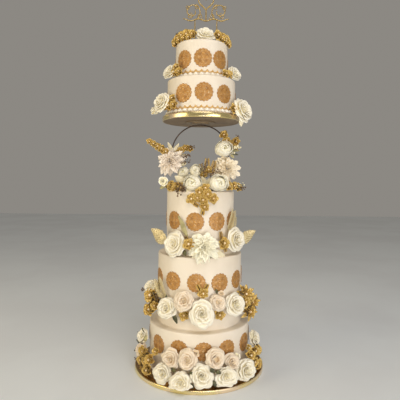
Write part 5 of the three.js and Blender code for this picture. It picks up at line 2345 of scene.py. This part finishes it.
def second() -> list[Garland]:
    """Round the foot of the second tier."""
    seat = {"wall": 131.0}
    blush = {"face": 14, "finish": BLUSH_PETALS}
    left = (on_wall(Bloom.OPEN_ROSE, -77, 158, 256, 24, lift=30, face=-48, **seat),
            *gold_row([(-70, 160, 236, 23), (-72, 162, 190, 23), (-60, 156, 210, 15)], frontal=0.35))
    right = (*gold_row([(64, 156, 246, 25), (75, 169, 214, 26), (70, 166, 188, 23)], kind=Bloom.BURST,
                       frontal=0.3),
             *gold_row([(61, 160, 224, 17), (70, 168, 232, 15)], frontal=0.3))
    return [
        Garland("t2_flowers_left", left, (
            wall_leaf(FERN, (-46, 142, 232), (-58, 148, 292), 34, face=-25),
            wall_leaf(OLIVE, (-42, 142, 236), (-46, 142, 254), 8, face=-25),
        ), (wall_sprig((-82, 164, 240), (-84, 182, 240), 9, 2.4, 10, 37),), 8, 35),
        Garland("t2_rose_1", (on_wall(Bloom.ROSE, -38.8, 151, 214.6, 32, face=-24, **seat),), (
            wall_leaf(OLIVE, (-31, 146, 200), (-26, 146, 173), 13, face=-10),
        ), seed=36),
        Garland("t2_rose_2", (on_wall(Bloom.ROSE, -17, 150, 244, 30, face=-10, finish=BLUSH_PETALS, **seat),),
                seed=37),
        Garland("t2_rose_3", (on_wall(Bloom.ROSE, 2.5, 157, 211, 37, lift=12, tall=1.15, **seat),), seed=38),
        Garland("t2_rose_4", (on_wall(Bloom.OPEN_ROSE, 21.4, 149, 239, 25, **blush, **seat),
                              on_wall(Bloom.BUD, 25, 146, 262, 13, **blush)), (
            wall_leaf(OLIVE, (22, 139, 262), (20, 137, 276), 8),), seed=39),
        Garland("t2_rose_5", (on_wall(Bloom.ROSE, 42.8, 152, 225.8, 35, face=30, **seat),), seed=40),
        Garland("t2_gold_1", gold_row([(-18.3, 140, 199, 16)]), seed=41),
        Garland("t2_gold_2", gold_row([(4.4, 141, 265, 16)]), (
            wall_leaf(LACE, (2, 134, 268), (-3, 133, 288), 12),
            wall_leaf(LACE, (6, 134, 270), (10, 133, 290), 12),
        ), seed=42),
        Garland("t2_gold_3", gold_row([(25, 140, 199, 16)]), seed=43),
        Garland("t2_gold_right", right, dressing=9, seed=44),
        back_posy("t2_posy_back", 130.5, 0, 152, 31, 19, 45),
    ]


def base() -> list[Garland]:
    """Two rows of roses on the board, with gold clusters at both ends."""
    seat = {"wall": 156.5, "ledge": 12.0}
    blush = {"finish": BLUSH_PETALS, "ruffle": 0.07, **seat}
    roses = {
        "upper_1": [on_wall(Bloom.ROSE, -26, 178, 80, 31, face=-20, **blush)],
        "upper_2": [on_wall(Bloom.OPEN_ROSE, -10.8, 179, 84, 33, **blush),
                    on_wall(Bloom.BUD, -3, 172, 104, 14, **blush)],
        "upper_3": [on_wall(Bloom.HOLLOW_ROSE, 15.6, 179, 86, 33, **blush)],
        "upper_4": [on_wall(Bloom.ROSE, 31, 178, 69, 30, face=24, **blush)],
        "lower_1": [on_wall(Bloom.ROSE, -31.5, 190, 43, 34, face=-25, ruffle=0.09, **seat)],
        "lower_2": [on_wall(Bloom.OPEN_ROSE, -14.6, 199, 30, 40, lift=20, ruffle=0.11, **seat)],
        "lower_3": [on_wall(Bloom.ROSE, 2.3, 190, 48, 37, ruffle=0.1, **seat)],
        "lower_4": [on_wall(Bloom.OPEN_ROSE, 23.8, 190, 42, 38, face=18, ruffle=0.1, **seat)],
        "lower_5": [on_wall(Bloom.ROSE, 45, 190, 39, 36, face=32, **seat),
                    on_wall(Bloom.BUD, 39, 172, 80, 15, **seat)],
    }
    between = {
        "lower_1": [(-24, 190, 62, -19, 196, 56)],
        "lower_2": [(-8, 192, 58, -3, 198, 52), (-7, 196, 30, -4, 202, 18)],
        "lower_3": [(9, 196, 70, 13, 200, 60), (12, 192, 34, 14, 200, 20)],
        "lower_4": [(14, 196, 62, 18, 200, 56)],
    }
    first_seed = {"upper": 46, "lower": 51}
    garlands = []
    for name, flowers in roses.items():
        row, number = name.split("_")
        leaves = tuple(wall_leaf(OLIVE, ends[:3], ends[3:], 12) for ends in between.get(name, []))
        seed = first_seed[row] + int(number)
        garlands.append(Garland("base_rose_" + name, tuple(flowers), leaves, seed=seed))
    left = (on_wall(Bloom.OPEN_ROSE, -78, 180, 101, 23, face=-45, **seat),
            on_wall(Bloom.OPEN_ROSE, -73.5, 187, 66, 22, face=-40, **blush),
            *gold_row([(-63, 189, 74, 17), (-51, 188, 62, 18), (-54, 190, 28, 18), (-67, 192, 42, 15),
                       (-44, 182, 92, 13), (-58, 190, 50, 14)]))
    right = (on_wall(Bloom.OPEN_ROSE, 80, 177, 97, 24, face=60, **seat),
             *gold_row([(56, 186, 72, 17), (65, 188, 76, 17), (75, 188, 66, 17), (72, 190, 28, 18),
                        (62, 190, 46, 16), (54, 182, 96, 11)]))
    garlands.append(Garland("base_flowers_left", left, (
        wall_leaf(OLIVE, (-82, 182, 96), (-85, 196, 108), 11, face=-30),
        wall_leaf(OLIVE, (-76, 176, 108), (-80, 182, 126), 11, face=-30),
        wall_leaf(SAGE, (-68, 178, 96), (-66, 176, 118), 12, face=-30),
        wall_leaf(OLIVE, (-80, 188, 78), (-84, 200, 84), 8, face=-30),
    ), (wall_sprig((-72, 192, 50), (-80, 200, 60), 9, 2.0, 9, 38),
        wall_sprig((-72, 192, 36), (-79, 201, 30), 7, 1.8, 8, 39)), 8, 56))
    garlands.append(Garland("base_flowers_right", right, (
        wall_leaf(CREAM, (76, 182, 84), (84, 190, 62), 22, face=40),
        wall_leaf(CREAM, (66, 172, 108), (72, 176, 130), 18, face=40),
    ), (), 8, 57))
    garlands.append(back_posy("base_posy_back", 156, 0, 12, 34, 20, 58))
    return garlands


@dataclass(frozen=True)
class WeddingCake:
    """The whole cake, from its board to its topper."""

    base_board: Board = Board("base_board", 203.0, 0.0, 12.0)
    upper_board: Board = Board("upper_board", 121.0, 769.0, 784.0, edge=3.0)
    tiers: tuple[Tier, ...] = (
        Tier("tier_1", 156.0, 12.0, 152.0, Medallions(102.5, (
            -50.8, -21.7, 4.9, 31.1, 60.3, 93.5, 124.0, 154.0, 184.0, 214.0, 244.0, 266.5))),
        Tier("tier_2", 130.5, 152.0, 365.0, Medallions(292.0, (
            -70.0, -37.3, -4.2, 27.1, 58.4, 91.5, 124.6, 157.7, 190.7, 223.8, 256.9))),
        Tier("tier_3", 105.0, 365.0, 555.0, Medallions(467.0, (
            -48.1, -8.6, 28.8, 64.2, 102.0, 141.0, 180.0, 219.0, 260.0))),
        Tier("tier_4", 105.0, 784.0, 892.0, Medallions(842.0, (
            -30.4, 4.0, 40.4, 102.0, 141.0, 180.0, 219.0, 258.0)), Border(40)),
        Tier("tier_5", 80.0, 892.0, 1002.0, Medallions(946.0, (
            -41.7, 2.8, 44.3, 107.0, 156.0, 204.0, 253.0)), Border(30)),
    )
    hoop: HoopStand = HoopStand()
    topper: Topper = Topper()

    def build(self) -> None:
        """Builds everything, from the board upward."""
        self.base_board.build()
        self.upper_board.build()
        for tier in self.tiers:
            tier.build()
        self.hoop.build()
        self.topper.build()
        garlands = [*crown(), *fifth(), *fourth(), *on_the_hoop(), *third(), *second(), *base()]
        large = [flower for garland in garlands for flower in garland.flowers if flower.kind not in GILDED]
        for garland in garlands:
            garland.build(large)


# ---- studio ---------------------------------------------------------------------


@dataclass(frozen=True)
class Studio:
    """The pale floor, the soft lights and the camera; places in millimetres."""

    camera: Triple = (-1.1, -1326.2, 584.1)
    dip: float = 2.509
    roll: float = 0.547
    lens: float = 37.81
    sensor: float = 36.0
    floor_size: float = 12000.0
    floor_drop: float = 0.5

    def build(self) -> None:
        """Sets up the studio."""
        self.floor()
        self.camera_object()
        self.surround()
        self.soft_box("key", (1900, -2500, 400), (0, 0, 260), 1700, 34, (1.0, 0.955, 0.93))
        self.soft_box("table_glow", (300, -1500, 60), (0, 0, 140), 700, 8, (0.95, 0.97, 1.0))
        self.soft_box("fill", (-2300, -1300, 820), (0, 0, 500), 1500, 24, (1.0, 0.86, 0.58))
        self.soft_box("top", (200, -1500, 2700), (0, 0, 500), 1600, 29, (1.0, 0.96, 0.91))

    def floor(self) -> None:
        """A pale matte floor just under the cake."""
        half = self.floor_size / 2 * MM
        mesh = bpy.data.meshes.new("floor")
        corners = ((-1, -1), (1, -1), (1, 1), (-1, 1))
        places = [(x * half, y * half, -self.floor_drop * MM) for x, y in corners]
        mesh.from_pydata(places, [], [(0, 1, 2, 3)])
        piece_of(mesh, "floor", dressed(PALE_FLOOR))

    def camera_object(self) -> None:
        """The camera at the height and angle that the cake is seen from."""
        camera = bpy.data.objects.new("camera", bpy.data.cameras.new("camera"))
        camera.data.lens = self.lens
        camera.data.sensor_width = self.sensor
        camera.data.clip_end = 50.0
        dip = Matrix.Rotation(math.radians(90 - self.dip), 4, "X")
        roll = Matrix.Rotation(math.radians(self.roll), 4, "Z")
        camera.matrix_world = Matrix.Translation(Vector(self.camera) * MM) @ (dip @ roll)
        bpy.context.scene.collection.objects.link(camera)
        bpy.context.scene.camera = camera

    @staticmethod
    def surround() -> None:
        """An even pale surround."""
        world = bpy.data.worlds.new("surround")
        bpy.context.scene.world = world
        world.use_nodes = True
        shade = world.node_tree.nodes["Background"]
        shade.inputs["Color"].default_value = paint("cdc8c0")
        shade.inputs["Strength"].default_value = 0.43
        bpy.context.scene.view_settings.view_transform = "Standard"

    @staticmethod
    def soft_box(name: str, place: Sequence[float], target: Sequence[float], size: float, power: float,
                 colour: Triple) -> None:
        """A large square lamp.

        Args:
            name: the lamp's name.
            place: where it stands.
            target: what it points at.
            size: of its side.
            power: in watts.
            colour: of its light.
        """
        lamp = bpy.data.lights.new(name, "AREA")
        lamp.size = size * MM
        lamp.energy = power
        lamp.color = colour
        made = bpy.data.objects.new(name, lamp)
        made.location = Vector(place) * MM
        made.rotation_euler = (Vector(target) - Vector(place)).to_track_quat("-Z", "Y").to_euler()
        bpy.context.scene.collection.objects.link(made)


def record_size() -> None:
    """Updates the view layer."""
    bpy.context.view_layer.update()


def main() -> None:
    """Builds the studio and the cake, and clears the workbench."""
    logging.basicConfig(level=logging.INFO, format="%(message)s")
    Studio().build()
    WeddingCake().build()
    BENCH.clear()
    record_size()


if __name__ == "__main__":
    main()
